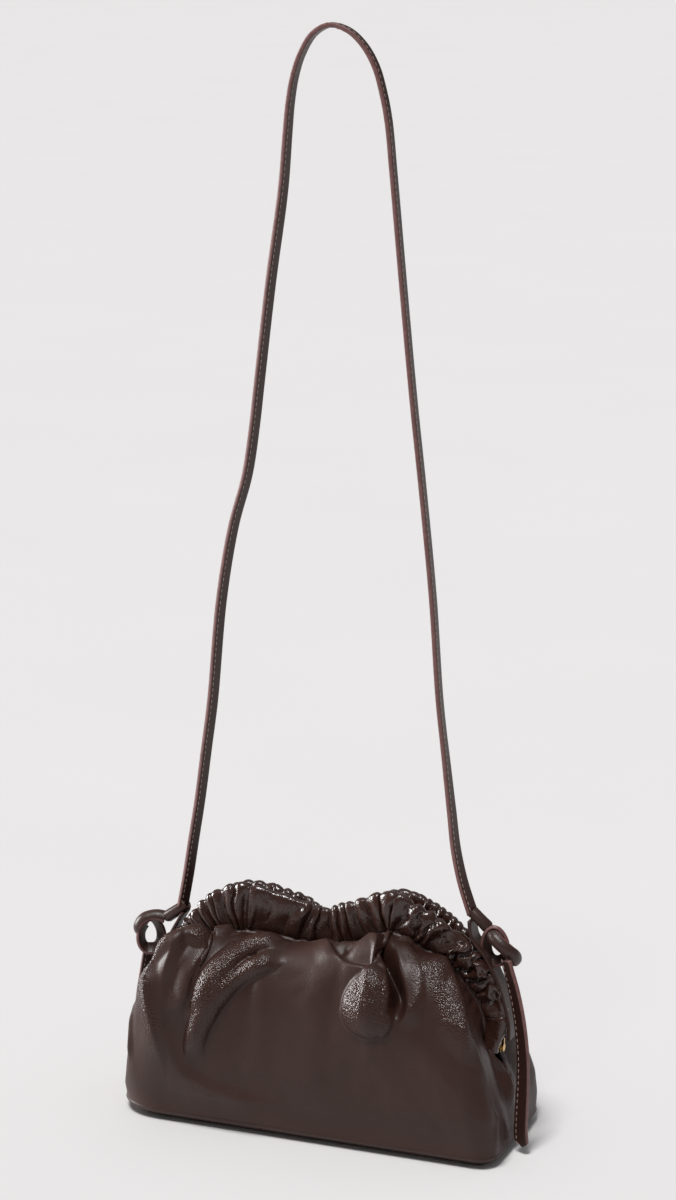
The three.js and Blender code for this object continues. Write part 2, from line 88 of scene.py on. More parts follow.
# How the front puffs over the channel's seam: place along it, up and out in channel depths
PUFF_ROWS = np.array([
    (0.00, 0.0, 0.0), (0.06, 0.1, 0.0), (0.10, 1.0, 0.1), (0.16, 2.7, 0.2), (0.21, 3.0, 0.2),
    (0.28, 1.4, 0.2), (0.36, 0.9, 0.0), (0.43, 1.6, 0.0), (0.50, 1.9, 0.0), (0.56, 1.4, 0.0),
    (0.62, 0.9, 0.0), (0.70, 0.7, 0.0), (0.80, 0.6, 0.1), (0.90, 0.3, 0.2), (1.00, 0.0, 0.0),
])

# Ridges and creases, by panel side (-1 front, 1 back). height, the widths of the two slopes, lean
# towards the left slope and lift are millimetres. foot makes the slopes' ends crisp and crest the
# top, from 0 to 1. Points are shares of the way along the panel and up from the sole to the seam.
FOLD_COLUMNS = ("side", "height", "left", "right", "foot", "crest", "lean", "lift", "points")
FOLD_ROWS = [
    # Front left corner, whose crest is the outline above and a line on the side below
    (-1, 6.5, 12, 22, 0, 0.6, 2, 0, [(0.225, 0.86), (0.206, 0.76), (0.184, 0.71), (0.168, 0.67),
         (0.164, 0.6), (0.173, 0.54), (0.186, 0.46), (0.195, 0.41), (0.209, 0.33), (0.219, 0.27),
         (0.226, 0.17)]),
    # Small folds of the side behind it
    (-1, 2.5, 5, 6, 0.2, 0.7, 0, 0, [(0.15, 0.54), (0.144, 0.44), (0.146, 0.36), (0.147, 0.27)]),
    # The lip that overhangs the valley on its left
    (-1, 4, 14, 4, 0.8, 0.5, 4.5, 0, [(0.257, 0.914), (0.259, 0.766), (0.253, 0.674), (0.249, 0.602),
         (0.246, 0.536), (0.235, 0.47), (0.223, 0.43)]),
    (-1, -2.5, 5, 9, 0, 0, 0, 0, [(0.249, 0.774), (0.241, 0.668), (0.234, 0.596), (0.23, 0.534),
         (0.226, 0.482)]),
    # A small ridge under the channel
    (-1, 5, 5, 6, 0.7, 0, 0, 0, [(0.268, 0.86), (0.289, 0.91), (0.311, 0.96)]),
    # The two long swells over the left of the front
    (-1, 8, 9, 10, 0.9, 0, 0, 0, [(0.447, 0.85), (0.412, 0.852), (0.38, 0.814), (0.353, 0.746),
         (0.326, 0.652), (0.303, 0.556), (0.29, 0.486), (0.274, 0.42)]),
    (-1, 7.5, 8, 8, 0.9, 0, 0, 0, [(0.451, 0.774), (0.418, 0.706), (0.383, 0.67), (0.354, 0.626),
         (0.327, 0.556), (0.307, 0.486), (0.293, 0.416), (0.286, 0.35), (0.29, 0.292)]),
    # The belly line, which falls from the left to the middle
    (-1, 3.2, 10, 26, 0, 0.5, 0, 0, [(0.205, 0.44), (0.229, 0.34), (0.243, 0.29), (0.268, 0.245),
         (0.313, 0.21), (0.366, 0.19), (0.436, 0.16), (0.516, 0.12)]),
    # The pocket's lip
    (-1, 2.3, 4, 12, 0.8, 0.4, 2, 1, [(0.511, 0.908), (0.496, 0.914), (0.51, 0.818), (0.54, 0.736),
         (0.571, 0.69), (0.608, 0.69), (0.654, 0.732)]),
    # The hood's ridge inside it
    (-1, 2.8, 7, 9, 0.3, 0, 0, 1, [(0.578, 0.912), (0.585, 0.894), (0.635, 0.792), (0.656, 0.754)]),
    # The deep crease beside it
    (-1, -16, 6, 7, 0, 0.1, 0, 0, [(0.622, 0.975), (0.64, 0.89), (0.662, 0.82), (0.684, 0.74),
         (0.697, 0.67), (0.699, 0.61), (0.689, 0.56)]),
    # The long ridges right of the crease
    (-1, 4, 10, 10, 0.3, 0.1, 1, 0, [(0.676, 0.96), (0.704, 0.88), (0.726, 0.8), (0.734, 0.74),
         (0.729, 0.66), (0.714, 0.6), (0.697, 0.55)]),
    (-1, 10, 11, 32, 0.5, 0.35, 0, 0, [(0.728, 0.97), (0.76, 0.92), (0.791, 0.86), (0.816, 0.79),
         (0.833, 0.72), (0.842, 0.64), (0.848, 0.53)]),
    (-1, 3, 3, 5, 0.6, 0.4, 1.5, 1, [(0.661, 0.95), (0.683, 0.97), (0.703, 0.98), (0.715, 0.97)]),
    # The gusset under the right hinge
    (-1, 4, 6, 9, 0.3, 0.4, 0, 0, [(0.945, 0.9), (0.965, 0.82), (0.98, 0.75), (0.982, 0.56),
         (0.973, 0.38)]),
    (-1, 1.5, 5, 6, 0, 0.6, 0, 0, [(0.874, 0.12), (0.884, 0.24), (0.9, 0.34)]),
    # The back
    (1, 8, 16, 15, 0.4, 0.1, 0, 1, [(0.19, 0.92), (0.165, 0.74), (0.16, 0.54), (0.19, 0.34)]),
    (1, -7, 9, 11, 0, 0.4, 0, 0, [(0.265, 0.94), (0.245, 0.76), (0.255, 0.6)]),
    (1, 8, 15, 14, 0.5, 0.1, 0, 1, [(0.345, 0.95), (0.33, 0.78), (0.315, 0.58), (0.335, 0.4)]),
    (1, -6, 10, 10, 0, 0.4, 0, 0, [(0.45, 0.95), (0.435, 0.78), (0.445, 0.6)]),
    (1, 7, 14, 16, 0.5, 0.1, 0, 1, [(0.56, 0.95), (0.545, 0.76), (0.575, 0.54)]),
    (1, -8, 9, 11, 0, 0.4, 0, 0, [(0.655, 0.95), (0.66, 0.78), (0.64, 0.62)]),
    (1, 8, 14, 14, 0.5, 0.1, 0, 1, [(0.74, 0.93), (0.775, 0.74), (0.79, 0.52), (0.77, 0.34)]),
]

# Rounded swellings and hollows: place, radii along and up the panel in millimetres, height, lift
# and how crisp the foot is
BUMP_COLUMNS = ("side", "way", "rise", "along", "up", "height", "lift", "foot")
BUMP_ROWS = [
    (-1, 0.628, 0.552, 22, 20, 10, 0, 0.8), (-1, 0.649, 0.636, 16, 13, 8, 0, 0.8),
    (-1, 0.249, 0.810, 8, 10, 7, 0, 0.7), (-1, 0.535, 0.818, 12, 11, -5.5, 0, 0),
    (-1, 0.582, 0.846, 15, 19, 2.5, 1, 0), (-1, 0.735, 0.850, 26, 40, 4.5, 0, 0),
    (-1, 0.150, 0.700, 22, 22, -4, 0, 0), (-1, 0.985, 0.900, 12, 14, -7, 0, 0),
    (-1, 0.070, 0.740, 36, 36, -8, 0, 0), (1, 0.070, 0.740, 36, 36, -8, 0, 0),
    (-1, 0.110, 0.450, 16, 50, -4, 0, 0), (1, 0.500, 0.300, 60, 30, 3, 0, 0),
]

# How sharply swells meet: the power of their union
UNION = 5.0

# Leather counts as creased from the first of these heights of its swells, and fully at the second
CREASE_FROM, CREASE_FULL = 2.0, 6.0

# Columns of the front and back panel and rows from sole to seam, in the final piece and a quick one
BODY_GRID, QUICK_GRID = (390, 110, 150), (200, 70, 90)
INNER_ROWS = 34

# How far from its line a fold is looked for: in shares of the panel's way, and of its rise
FOLD_REACH, FOLD_RISE_REACH = 0.16, 0.256

# Gathers below the seam: depth, the way down in which they fade out and in, in millimetres, how
# many pleats each takes, how much they wander, and the noise that they follow
GATHER_COLUMNS = ("deep", "fade", "start", "pleats", "wander", "ways", "rises", "seed")
GATHER_ROWS = [(2.2, 8, 2, 1.0, 0.15, 40, 12, 11), (2.0, 22, 3, 2.7, 0.2, 25, 6, 12)]

# Unevenness of the leather: depth in millimetres, swings along and up the panel, and seed
UNEVEN_ROWS = [(0.7, 14, 7, 3), (0.25, 42, 20, 4)]

# The pleats of each channel, by place along the arch: width, depth and the ruffle of its outer
# edge in millimetres, and how much the pleats wander
PLEAT_ROWS = {
    "front": np.array([
        (0.00, 7.0, 1.8, 0.5, 0.2), (0.14, 6.0, 4.2, 1.0, 0.3), (0.24, 6.2, 5.0, 1.0, 0.4),
        (0.31, 7.5, 5.0, 0.8, 0.3), (0.34, 17.0, 1.6, 0.6, 0.5), (0.41, 17.0, 1.8, 0.6, 0.5),
        (0.44, 8.0, 4.6, 0.6, 0.4), (0.56, 8.0, 5.0, 0.6, 0.3), (0.64, 9.5, 5.6, 0.8, 0.3),
        (0.70, 8.5, 5.2, 3.0, 0.8), (0.80, 9.0, 5.4, 5.0, 1.0), (0.93, 8.5, 4.6, 3.6, 0.8),
        (0.97, 14.0, 0.8, 0.4, 0.2), (1.00, 14.0, 0.4, 0.2, 0.2),
    ]),
    "back": np.array([
        (0.00, 7.0, 1.5, 0.4, 0.2), (0.20, 6.5, 3.2, 1.0, 0.3), (0.45, 6.5, 3.2, 0.8, 0.3),
        (0.60, 4.5, 2.2, 0.8, 0.3), (0.80, 5.0, 2.4, 0.8, 0.5), (1.00, 7.0, 1.0, 0.4, 0.2),
    ]),
}

# How far the front channel's right end hangs over its hinge, in millimetres, and where that starts
TONGUE, TONGUE_START = 7.0, 0.955

# The rings of a channel and the points of each
CHANNEL_RINGS, CHANNEL_SIDES = 900, 44

# The base's edge, from the middle of the sole outwards: out of the base's outline, and up. The
# body's own rows start above SOLE_TOP
SOLE_ROWS = [(-10.0, 0.0), (-9.0, 0.8), (-6.5, 2.0), (-4.0, 3.4), (-1.8, 4.9), (-0.4, 6.2), (0.5, 7.0),
             (0.9, 7.8), (0.6, 8.6), (0.3, 9.4)]
SOLE_TOP = 10.4

# The body's top edge, carried on into the channel: up, and the share of the way over to its middle
TUCK_ROWS = [(1.5, 0.1), (3.5, 0.4), (5.5, 0.8)]

# The strap's route: x and z of its middle line, from the left tab to the right
STRAP_ROUTE = [
    (-107.6, 134.4), (-103, 158), (-99, 182), (-94, 211), (-89, 246), (-84, 281), (-77, 350),
    (-68, 400), (-58, 435), (-53, 465), (-49, 497), (-41, 560), (-32, 621), (-29, 655), (-27, 675),
    (-24, 691), (-19, 705), (-11, 717), (0, 722.5), (12, 719.5), (22, 711), (30, 698), (35, 682),
    (38.5, 665), (42, 632), (49, 560), (56, 491), (63, 430), (70, 363), (75, 297), (80, 255),
    (84, 222), (87, 198), (92, 176), (99, 155.4),
]

# How the strap turns about its own line, in degrees, by share of its length
STRAP_TURN = [(0, -30), (0.06, -24), (0.2, -22), (0.4, -18), (0.48, -4), (0.56, 0), (0.9, 0), (1, 26)]

# The tails' routes: x, y and z, from the knot to the pointed end
TAIL_ROUTES = {
    "left": [(-133.5, 4, 101), (-138, 7, 82), (-143, 11, 62), (-145.5, 13, 42), (-146, 14, 22),
             (-145.5, 14, 5)],
    "right": [(127, -8.6, 122.8), (131, -9.5, 110), (135.5, -11, 91), (138.7, -12.5, 67),
              (139.3, -13.5, 49), (139, -14.5, 32), (138.8, -15, 15), (140, -15.2, 5)],
}

# How far each tail's top runs on into its knot, and how far its end is cut to a slant, in millimetres
TAIL_TUCK, TAIL_TIP = {"left": 2.5, "right": 7.0}, 9.0

# Stitches, in metres: length and radius. Then how far each row lies from the edge, in millimetres
STITCH_LENGTH, THREAD_RADIUS = 0.0028, 0.00032
STRAP_STITCH_INSET, TAIL_STITCH_INSET = 1.9, 2.2

# The knots' loops: half sizes, the cone that shows their inside, and each loop's middle and turn
LOOP_HALF, LOOP_CONE = (7.0, 11.0), 38.0
LOOPS = {"left": ((-131.5, 0, 111.5), 28), "right": ((115.2, 0, 135.5), 0)}

# The wrap over each loop, from the loop's middle: x outwards, y and z, then the way it faces
WRAP_WIDTH, WRAP_CROWN = 8.8, -2.2
WRAPS = {
    "left": [(11.5, -0.5, 13.6, 0.3, -0.5, 0.8), (6.5, -1.5, 14.6, 0.2, -0.5, 0.8),
             (2.0, -2.5, 14.2, 0, -0.5, 0.9), (-3.0, -4.5, 12.0, -0.4, -0.7, 0.6),
             (-6.5, -5.0, 7.0, -0.7, -0.7, 0.2), (-7.2, -2.0, 2.5, -0.8, -0.5, 0),
             (-4.0, 1.5, 0.5, 0, 1, -0.3)],
    "right": [(-4.5, 1.5, 9.5, -0.3, -0.8, 0.5), (-1.0, -3.5, 7.8, -0.2, -0.9, 0.4),
              (4.5, -6.2, 4.2, 0, -1, 0.3), (10.0, -5.8, -0.2, 0.4, -0.9, 0.2),
              (13.4, -2.2, -4.6, 0.9, -0.4, 0), (13.4, 2.0, -8.0, 1, 0.2, -0.2),
              (10.2, 4.8, -9.6, 0.2, 0.9, -0.2), (5.5, 5.2, -9.0, -0.2, 1, 0)],
}

# Tabs: width, thickness, each roll's ends as x and z, its section as radius and share of its
# length, and each tab's line as x and z, from its foot up
TAB_WIDTH, TAB_THICKNESS = 14.0, 2.2
ROLL_LINES = {"left": ((-104.6, 136.2), (-119.2, 125.6)), "right": ((98.8, 157.0), (109.6, 147.4))}
ROLL_RINGS = [(2.2, 0.05), (2.2, -0.02), (3.3, -0.05), (3.9, 0.02), (3.9, 0.5), (4.1, 0.97), (3.5, 1.05),
              (2.4, 1.02), (2.2, 0.9)]
TAB_LINES = {
    "left": [(-126.7, 74), (-126.6, 84), (-123.6, 96), (-117.5, 108), (-112.9, 118), (-109.0, 125),
             (-105.6, 131)],
    "right": [(126.7, 74), (126.6, 84), (123.6, 97), (118.5, 112), (109.1, 129.7), (101.1, 139.2),
              (99.2, 145.6), (98.6, 152)],
}

# The stage, in metres: half the floor's side, then each light's direction, strength and angle in
# degrees, and the room's light from below to above
FLOOR_HALF = 40.0
LEFT_BOX = ((-0.96, -0.10, 0.20), 5.0, 28)
OVERHEAD_BOX = ((0.0, -0.40, 0.90), 2.6, 18)
ROOM_LOW, ROOM_HIGH, BACKDROP = 0.05, 0.45, "#ebebe9"

# The camera stands where the photograph was taken from: angles in degrees, lengths in millimetres
CAMERA_AZIMUTH, CAMERA_PITCH, CAMERA_DISTANCE = 21.3, 13.6, 2000.0
CAMERA_TARGET = (5.0, 0.0, 357.0)
CAMERA_FOCAL_PIXELS, PHOTO_HEIGHT, SENSOR = 3098.0, 1200.0, 36.0


def mix(a, b, share):
    return a + (b - a) * share


def smooth(share):
    s = np.clip(share, 0, 1)
    return s * s * (3 - 2 * s)


def place(points):
    """Points of the bag's own frame, in millimetres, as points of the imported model's, in metres."""
    moved = np.asarray(points, float) * MM
    moved[..., 2] += FLOOR
    return moved


def lengths(points):
    steps = np.linalg.norm(np.diff(points, axis=0), axis=1)
    return np.concatenate([[0], np.cumsum(steps)])


def noise(u, v, seed):
    """Soft noise from -1 to 1, one swing for each unit of u or v."""
    side = 256
    grid = np.random.default_rng(seed).uniform(-1, 1, (side, side))
    u, v = np.broadcast_arrays(u, v)
    i, j = np.floor(u).astype(int), np.floor(v).astype(int)
    a, b = smooth(u - i), smooth(v - j)
    low = mix(grid[i % side, j % side], grid[(i + 1) % side, j % side], a)
    high = mix(grid[i % side, (j + 1) % side], grid[(i + 1) % side, (j + 1) % side], a)
    return mix(low, high, b)


def line_through(points, steps):
    """A smooth line through the points, with the number of the stretch at each place on it."""
    p = np.asarray(points, float)
    p = np.vstack([2 * p[0] - p[1], p, 2 * p[-1] - p[-2]])
    out, stretch = [], []
    for i in range(len(p) - 3):
        a, b, c, d = p[i:i + 4]
        ta = math.sqrt(np.linalg.norm(b - a))
        tb = ta + math.sqrt(np.linalg.norm(c - b))
        tc = tb + math.sqrt(np.linalg.norm(d - c))
        share = np.linspace(0, 1, steps, endpoint=False)[:, None]
        t = mix(ta, tb, share)
        e = mix(a, b, t / ta)
        f = mix(b, c, (t - ta) / (tb - ta))
        g = mix(c, d, (t - tb) / (tc - tb))
        h = mix(e, f, t / tb)
        k = mix(f, g, (t - ta) / (tc - ta))
        out.append(mix(h, k, (t - ta) / (tb - ta)))
        stretch.append(i + share[:, 0])
    out.append(p[-2][None])
    stretch.append([len(p) - 3])
    return np.vstack(out), np.concatenate(stretch)


def rows_at(rows, number):
    """Values between the rows of a table, eased from one row to the next."""
    i = np.clip(np.floor(number).astype(int), 0, len(rows) - 2)
    return mix(rows[i], rows[i + 1], smooth(number - i)[..., None])


def table_at(rows, share):
    """The values of a table whose first column is the place along something."""
    number = np.interp(share, rows[:, 0], np.arange(len(rows)))
    return rows_at(rows[:, 1:], number)


FRAME_RISE = RIM_HEIGHT - HINGE_HEIGHT
arch_line, arch_stretch = line_through(
    np.column_stack([ARCH_ROWS[:, 0] * FRAME_SPAN / 2, HINGE_HEIGHT + ARCH_ROWS[:, 1] * FRAME_RISE]), 60)
ARCH_LENGTH = lengths(arch_line)[-1]
arch_way = lengths(arch_line) / ARCH_LENGTH


def arch_at(share, side):
    """The arch's middle line: x, z, the direction into the bag, half depth and distance from y = 0."""
    share = np.clip(np.asarray(share, float), 0, 1)
    step = 0.002
    x, z = (np.interp(share, arch_way, arch_line[:, k]) for k in (0, 1))
    before, after = np.clip(share - step, 0, 1), np.clip(share + step, 0, 1)
    dx, dz = (np.interp(after, arch_way, arch_line[:, k]) - np.interp(before, arch_way, arch_line[:, k])
              for k in (0, 1))
    size = np.hypot(dx, dz)
    row = rows_at(ARCH_ROWS, np.interp(share, arch_way, arch_stretch))
    sink = BACK_DROP * smooth((z - HINGE_HEIGHT) / FRAME_RISE * 2 - 0.3)
    z = z - np.where(side > 0, sink, 0)
    half = row[..., 2] * CHANNEL_DEPTH / 2
    offset = row[..., 3] * MOUTH_GAP / 2 + (CHANNEL_THICKNESS + SEAM_GAP) / 2
    return x, z, dz / size, -dx / size, half, offset


def base_corner(middle, radius, start, steps):
    """A rounded square corner of the base, from an angle on, with the direction out of it."""
    rows = []
    for angle in np.linspace(start, start + math.pi / 2, steps, endpoint=False):
        out = (-math.cos(angle), -math.sin(angle))
        x, y = (math.copysign(abs(part) ** CORNER_SQUARE, part) for part in out)
        rows.append((middle + radius * x, radius * (1 + y) - BASE_DEPTH / 2, *out))
    return rows


def base_outline():
    """Half of the base's outline round the front, with the direction out of it at each point."""
    half, left, right = BASE_DEPTH / 2, CORNER_LEFT - BASE_LEFT, BASE_RIGHT - CORNER_RIGHT
    rows = [(-BASE_LEFT, -y, -1, 0) for y in np.linspace(0, half - CORNER_LEFT, 20, endpoint=False)]
    rows += base_corner(left, CORNER_LEFT, 0, 60)
    rows += [(x, -half, 0, -1) for x in np.linspace(left, right, 60, endpoint=False)]
    rows += base_corner(right, CORNER_RIGHT, math.pi / 2, 40)
    rows += [(BASE_RIGHT, -y, 1, 0) for y in np.linspace(half - CORNER_RIGHT, 0, 20)]
    return np.array(rows, float)


base_rows = base_outline()
BASE_HALF = lengths(base_rows[:, :2])[-1]
base_way = lengths(base_rows[:, :2]) / BASE_HALF


def plain_body(share, rise, side):
    """The outside of the body before its folds. share runs along one side, rise from sole to seam."""
    share = np.clip(share, 0, 1)
    bx, by, ox, oy = (np.interp(share, base_way, base_rows[:, k]) for k in range(4))
    by, oy = by * -side, oy * -side
    x, z, ix, iz, half, offset = arch_at((share - FOOT_SHARE) / (1 - 2 * FOOT_SHARE), side)
    drop = half + SEAM_GAP + SEAM_DROP
    inboard = np.minimum(share, 1 - share)
    end = inboard / FOOT_SHARE
    foot = end < 1
    sign = np.where(share < 0.5, -1.0, 1.0)
    turn = np.where(foot, smooth(end), 1) * math.pi / 2
    seam = np.stack([
        np.where(foot, mix(x + sign * HINGE_RADIUS, x + ix * drop, smooth(end)), x + ix * drop),
        side * (offset + SEAM_FORWARD) * np.sin(turn),
        np.where(foot, mix(HINGE_HEIGHT - FOOT_DROP, z + iz * drop, end), z + iz * drop),
    ], -1)
    out = np.stack([sign * np.cos(turn), side * np.sin(turn), np.zeros_like(share)], -1)
    base = np.stack([bx, by, np.zeros_like(share)], -1)
    base_out = np.stack([ox, oy, np.zeros_like(share)], -1)
    bulge = mix(END_BULGE, np.where(side < 0, FRONT_BULGE, BACK_BULGE), np.abs(oy))[..., None]
    start = base + base_out * bulge * SOLE_FLARE
    lower = base + base_out * bulge * 2
    lower[..., 2] = seam[..., 2] * LOWER_LIFT
    at_foot = mix(END_BULGE, CHANNEL_THICKNESS * 1.5, inboard / FOOT_SHARE)
    reach = mix(at_foot, BASE_DEPTH / 2 * SHOULDER_REACH, smooth((inboard - FOOT_SHARE) / FRONT_TURN))
    upper = seam + out * np.where(foot, at_foot, reach)[..., None]
    upper[..., 2] = seam[..., 2] * UPPER_LIFT
    puff = table_at(PUFF_ROWS, share) * CHANNEL_DEPTH * np.where(side < 0, 1, 0)[..., None]
    upper[..., 0] += sign * puff[..., 1]
    upper[..., 1] += side * puff[..., 0] * PUFF_LEAN
    upper[..., 2] += puff[..., 0]
    top = seam + out * LEATHER_WALL / 2
    u, t = (1 - rise)[..., None], rise[..., None]
    return start * u**3 + lower * 3 * u * u * t + upper * 3 * u * t * t + top * t**3


def surface_frame(share, rise, side):
    """Along, up and outward directions of the plain body, with the lengths of one share of each."""
    step = 0.004
    left, right = np.clip(share - step, 0, 1), np.clip(share + step, 0, 1)
    low, high = np.clip(rise - step, 0, 1), np.clip(rise + step, 0, 1)
    along = (plain_body(right, rise, side) - plain_body(left, rise, side)) / (right - left)[..., None]
    up = (plain_body(share, high, side) - plain_body(share, low, side)) / (high - low)[..., None]
    across = np.cross(along, up) * -side[..., None]
    across /= np.linalg.norm(across, axis=-1, keepdims=True) + 1e-9
    along_size = np.linalg.norm(along, axis=-1)
    up_size = np.linalg.norm(up, axis=-1)
    along /= along_size[..., None] + 1e-9
    up /= up_size[..., None] + 1e-9
    return along, up, across, along_size, up_size


def profile(t, foot, crest, deep):
    """A fold's section, from 1 on its line to 0 at its foot: round, or crisp at foot or crest."""
    t = np.clip(t, 0, 1)
    bell = (1 - t) ** 2 * (1 + 2 * t)
    section = mix(bell, bell * 0 if deep else np.sqrt(1 - t * t), foot)
    return mix(section, (1 - t) ** 1.6, crest)


def fold_at(share, rise, row, along_size, up_size):
    """A fold's section at each place, from 0 to 1, and its lean's direction."""
    line, _ = line_through(row["points"], 8)
    best = np.full(share.shape, np.inf)
    side = np.ones(share.shape)
    way = np.zeros(share.shape)
    lean = np.zeros(share.shape + (2,))
    for i in range(len(line) - 1):
        a, b = line[i], line[i + 1]
        dx, dy = (b[0] - a[0]) * along_size, (b[1] - a[1]) * up_size
        px, py = (share - a[0]) * along_size, (rise - a[1]) * up_size
        t = np.clip((px * dx + py * dy) / (dx * dx + dy * dy + 1e-9), 0, 1)
        ox, oy = px - t * dx, py - t * dy
        distance = np.hypot(ox, oy)
        near = distance < best
        best = np.where(near, distance, best)
        side = np.where(near, np.sign(ox * dy - oy * dx + 1e-12), side)
        way = np.where(near, (i + t) / (len(line) - 1), way)
        size = np.hypot(dx, dy) + 1e-9
        lean = np.where(near[..., None], np.stack([-dy / size, dx / size], -1), lean)
    width = np.where(side > 0, row["right"], row["left"])
    foot = row["foot"] * (min(row["right"], row["left"]) / width) ** 2
    ends = smooth(way * 5 + 0.1) * smooth((1 - way) * 3.5 + 0.1)
    return profile(best / width, foot, row["crest"], row["height"] < 0) * ends, lean


def folded_body(share, rise, side):
    """The outside of the body with its folds, hollows, gathers and small unevenness, and how far
    each place is creased."""
    along, up, across, along_size, up_size = surface_frame(share, rise, side)
    swell, height, lift = (np.zeros(share.shape) for _ in range(3))
    shift = np.zeros(share.shape + (2,))

    def add(row, section, near):
        if row["height"] > 0:
            swell[near] += (row["height"] * section) ** UNION
        else:
            height[near] += row["height"] * section
        lift[near] += row["lift"] * section

    for values in FOLD_ROWS:
        row = dict(zip(FOLD_COLUMNS, values))
        way, up_way = np.transpose(row["points"])
        near = ((side == row["side"]) & (share > way.min() - FOLD_REACH) & (share < way.max() + FOLD_REACH)
                & (rise > up_way.min() - FOLD_RISE_REACH) & (rise < up_way.max() + FOLD_RISE_REACH))
        section, lean = fold_at(share[near], rise[near], row, along_size[near], up_size[near])
        add(row, section, near)
        shift[near] += row["lean"] * section[..., None] * lean
    for values in BUMP_ROWS:
        row = dict(zip(BUMP_COLUMNS, values))
        near = side == row["side"]
        away = np.hypot((share - row["way"]) * along_size / row["along"],
                        (rise - row["rise"]) * up_size / row["up"])[near]
        add(row, profile(away, row["foot"], 0, row["height"] < 0), near)
    swell = swell ** (1 / UNION)
    height += swell
    below = (1 - rise) * up_size
    # The gathers go on from the front channel's pleats
    pleats = pleat_phase(share, "front")[0]
    for values in GATHER_ROWS:
        row = dict(zip(GATHER_COLUMNS, values))
        wander = row["wander"] * noise(share * row["ways"], rise * row["rises"], row["seed"])
        wave = np.abs(np.sin(math.pi * (pleats / row["pleats"] + wander))) - 0.6
        height += wave * row["deep"] * np.exp(-below / row["fade"]) * smooth(below / row["start"])
    for deep, ways, rises, seed in UNEVEN_ROWS:
        height += deep * noise(share * ways, rise * rises, seed)
    # All of it fades out towards the sole, the seam and the panel's two ends
    hold = smooth(rise * 9) * smooth((1 - rise) * 30)
    ends = smooth(np.minimum(share, 1 - share) * 40)
    point = plain_body(share, rise, side) + across * (height * hold * mix(0.4, 1, ends))[..., None]
    point = point + (along * shift[..., :1] + up * shift[..., 1:]) * (hold * ends)[..., None]
    point[..., 2] += lift * hold
    return point, smooth((swell - CREASE_FROM) / (CREASE_FULL - CREASE_FROM))


def pleat_phase(share, panel):
    """How many pleats lie before a place of the arch, and the pleats' sizes there."""
    steps = np.linspace(0, 1, 2001)
    row = table_at(PLEAT_ROWS[panel], steps)
    count = np.concatenate([[0], np.cumsum(ARCH_LENGTH / 2000 / row[1:, 0])])
    return np.interp(share, steps, count), table_at(PLEAT_ROWS[panel], share)


def add_object(name, data):
    piece = bpy.data.objects.new(name, data)
    bpy.context.scene.collection.objects.link(piece)
    return piece


def new_object(name, vertices, faces, materials, face_slots=None):
    mesh = bpy.data.meshes.new(name)
    mesh.from_pydata(place(vertices).tolist(), [], faces)
    for material in materials:
        mesh.materials.append(material)
    if face_slots is not None:
        mesh.polygons.foreach_set("material_index", face_slots)
    mesh.shade_smooth()
    mesh.validate()
    mesh.update()
    return add_object(name, mesh)


def ring_faces(count, sides, closed_ends=False):
    """Quads between rings of points. closed_ends joins the last ring to the first."""
    faces = []
    for r in range(count if closed_ends else count - 1):
        a, b = r * sides, (r + 1) % count * sides
        for s in range(sides):
            n = (s + 1) % sides
            faces.append((a + s, a + n, b + n, b + s))
    return faces


def finish_piece(piece, body, nodes=()):
    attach(piece, body)
    if nodes:
        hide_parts(*nodes)
    return piece


def linear(code):
    """A colour written as sRGB hex, as the linear values that Blender uses."""
    parts = [int(code[i:i + 2], 16) / 255 for i in (1, 3, 5)]
    return [c / 12.92 if c <= 0.04045 else ((c + 0.055) / 1.055) ** 2.4 for c in parts] + [1.0]


def add_node(tree, kind, settings=None, inputs=None):
    """A node with its settings, and its inputs set to a value or linked to a socket."""
    node = tree.nodes.new(kind)
    for key, value in (settings or {}).items():
        setattr(node, key, value)
    for key, value in (inputs or {}).items():
        if isinstance(value, bpy.types.NodeSocket):
            tree.links.new(value, node.inputs[key])
        else:
            node.inputs[key].default_value = value
    return node


def new_material(name):
    """The empty tree of a new material, and the place on the object that its patterns follow."""
    material = bpy.data.materials.new(name)
    material.use_nodes = True
    tree = material.node_tree
    tree.nodes.clear()
    return tree, add_node(tree, "ShaderNodeTexCoord").outputs["Object"]


def clouds(tree, where, scale, detail):
    return add_node(tree, "ShaderNodeTexNoise", inputs={"Vector": where, "Scale": scale, "Detail": detail})


def two_tones(tree, share, dark, light):
    return add_node(tree, "ShaderNodeMix", {"data_type": "RGBA"}, {
        0: share, 6: linear(dark), 7: linear(light)}).outputs[2]


def ranged(tree, share, low, high):
    return add_node(tree, "ShaderNodeMapRange", inputs={
        "Value": share, "To Min": low, "To Max": high}).outputs[0]


def relief(tree, strength, distance, height):
    return add_node(tree, "ShaderNodeBump", inputs={
        "Strength": strength, "Distance": distance, "Height": height}).outputs[0]


def close_material(tree, inputs):
    shader = add_node(tree, "ShaderNodeBsdfPrincipled", inputs=inputs)
    add_node(tree, "ShaderNodeOutputMaterial", inputs={"Surface": shader.outputs[0]})


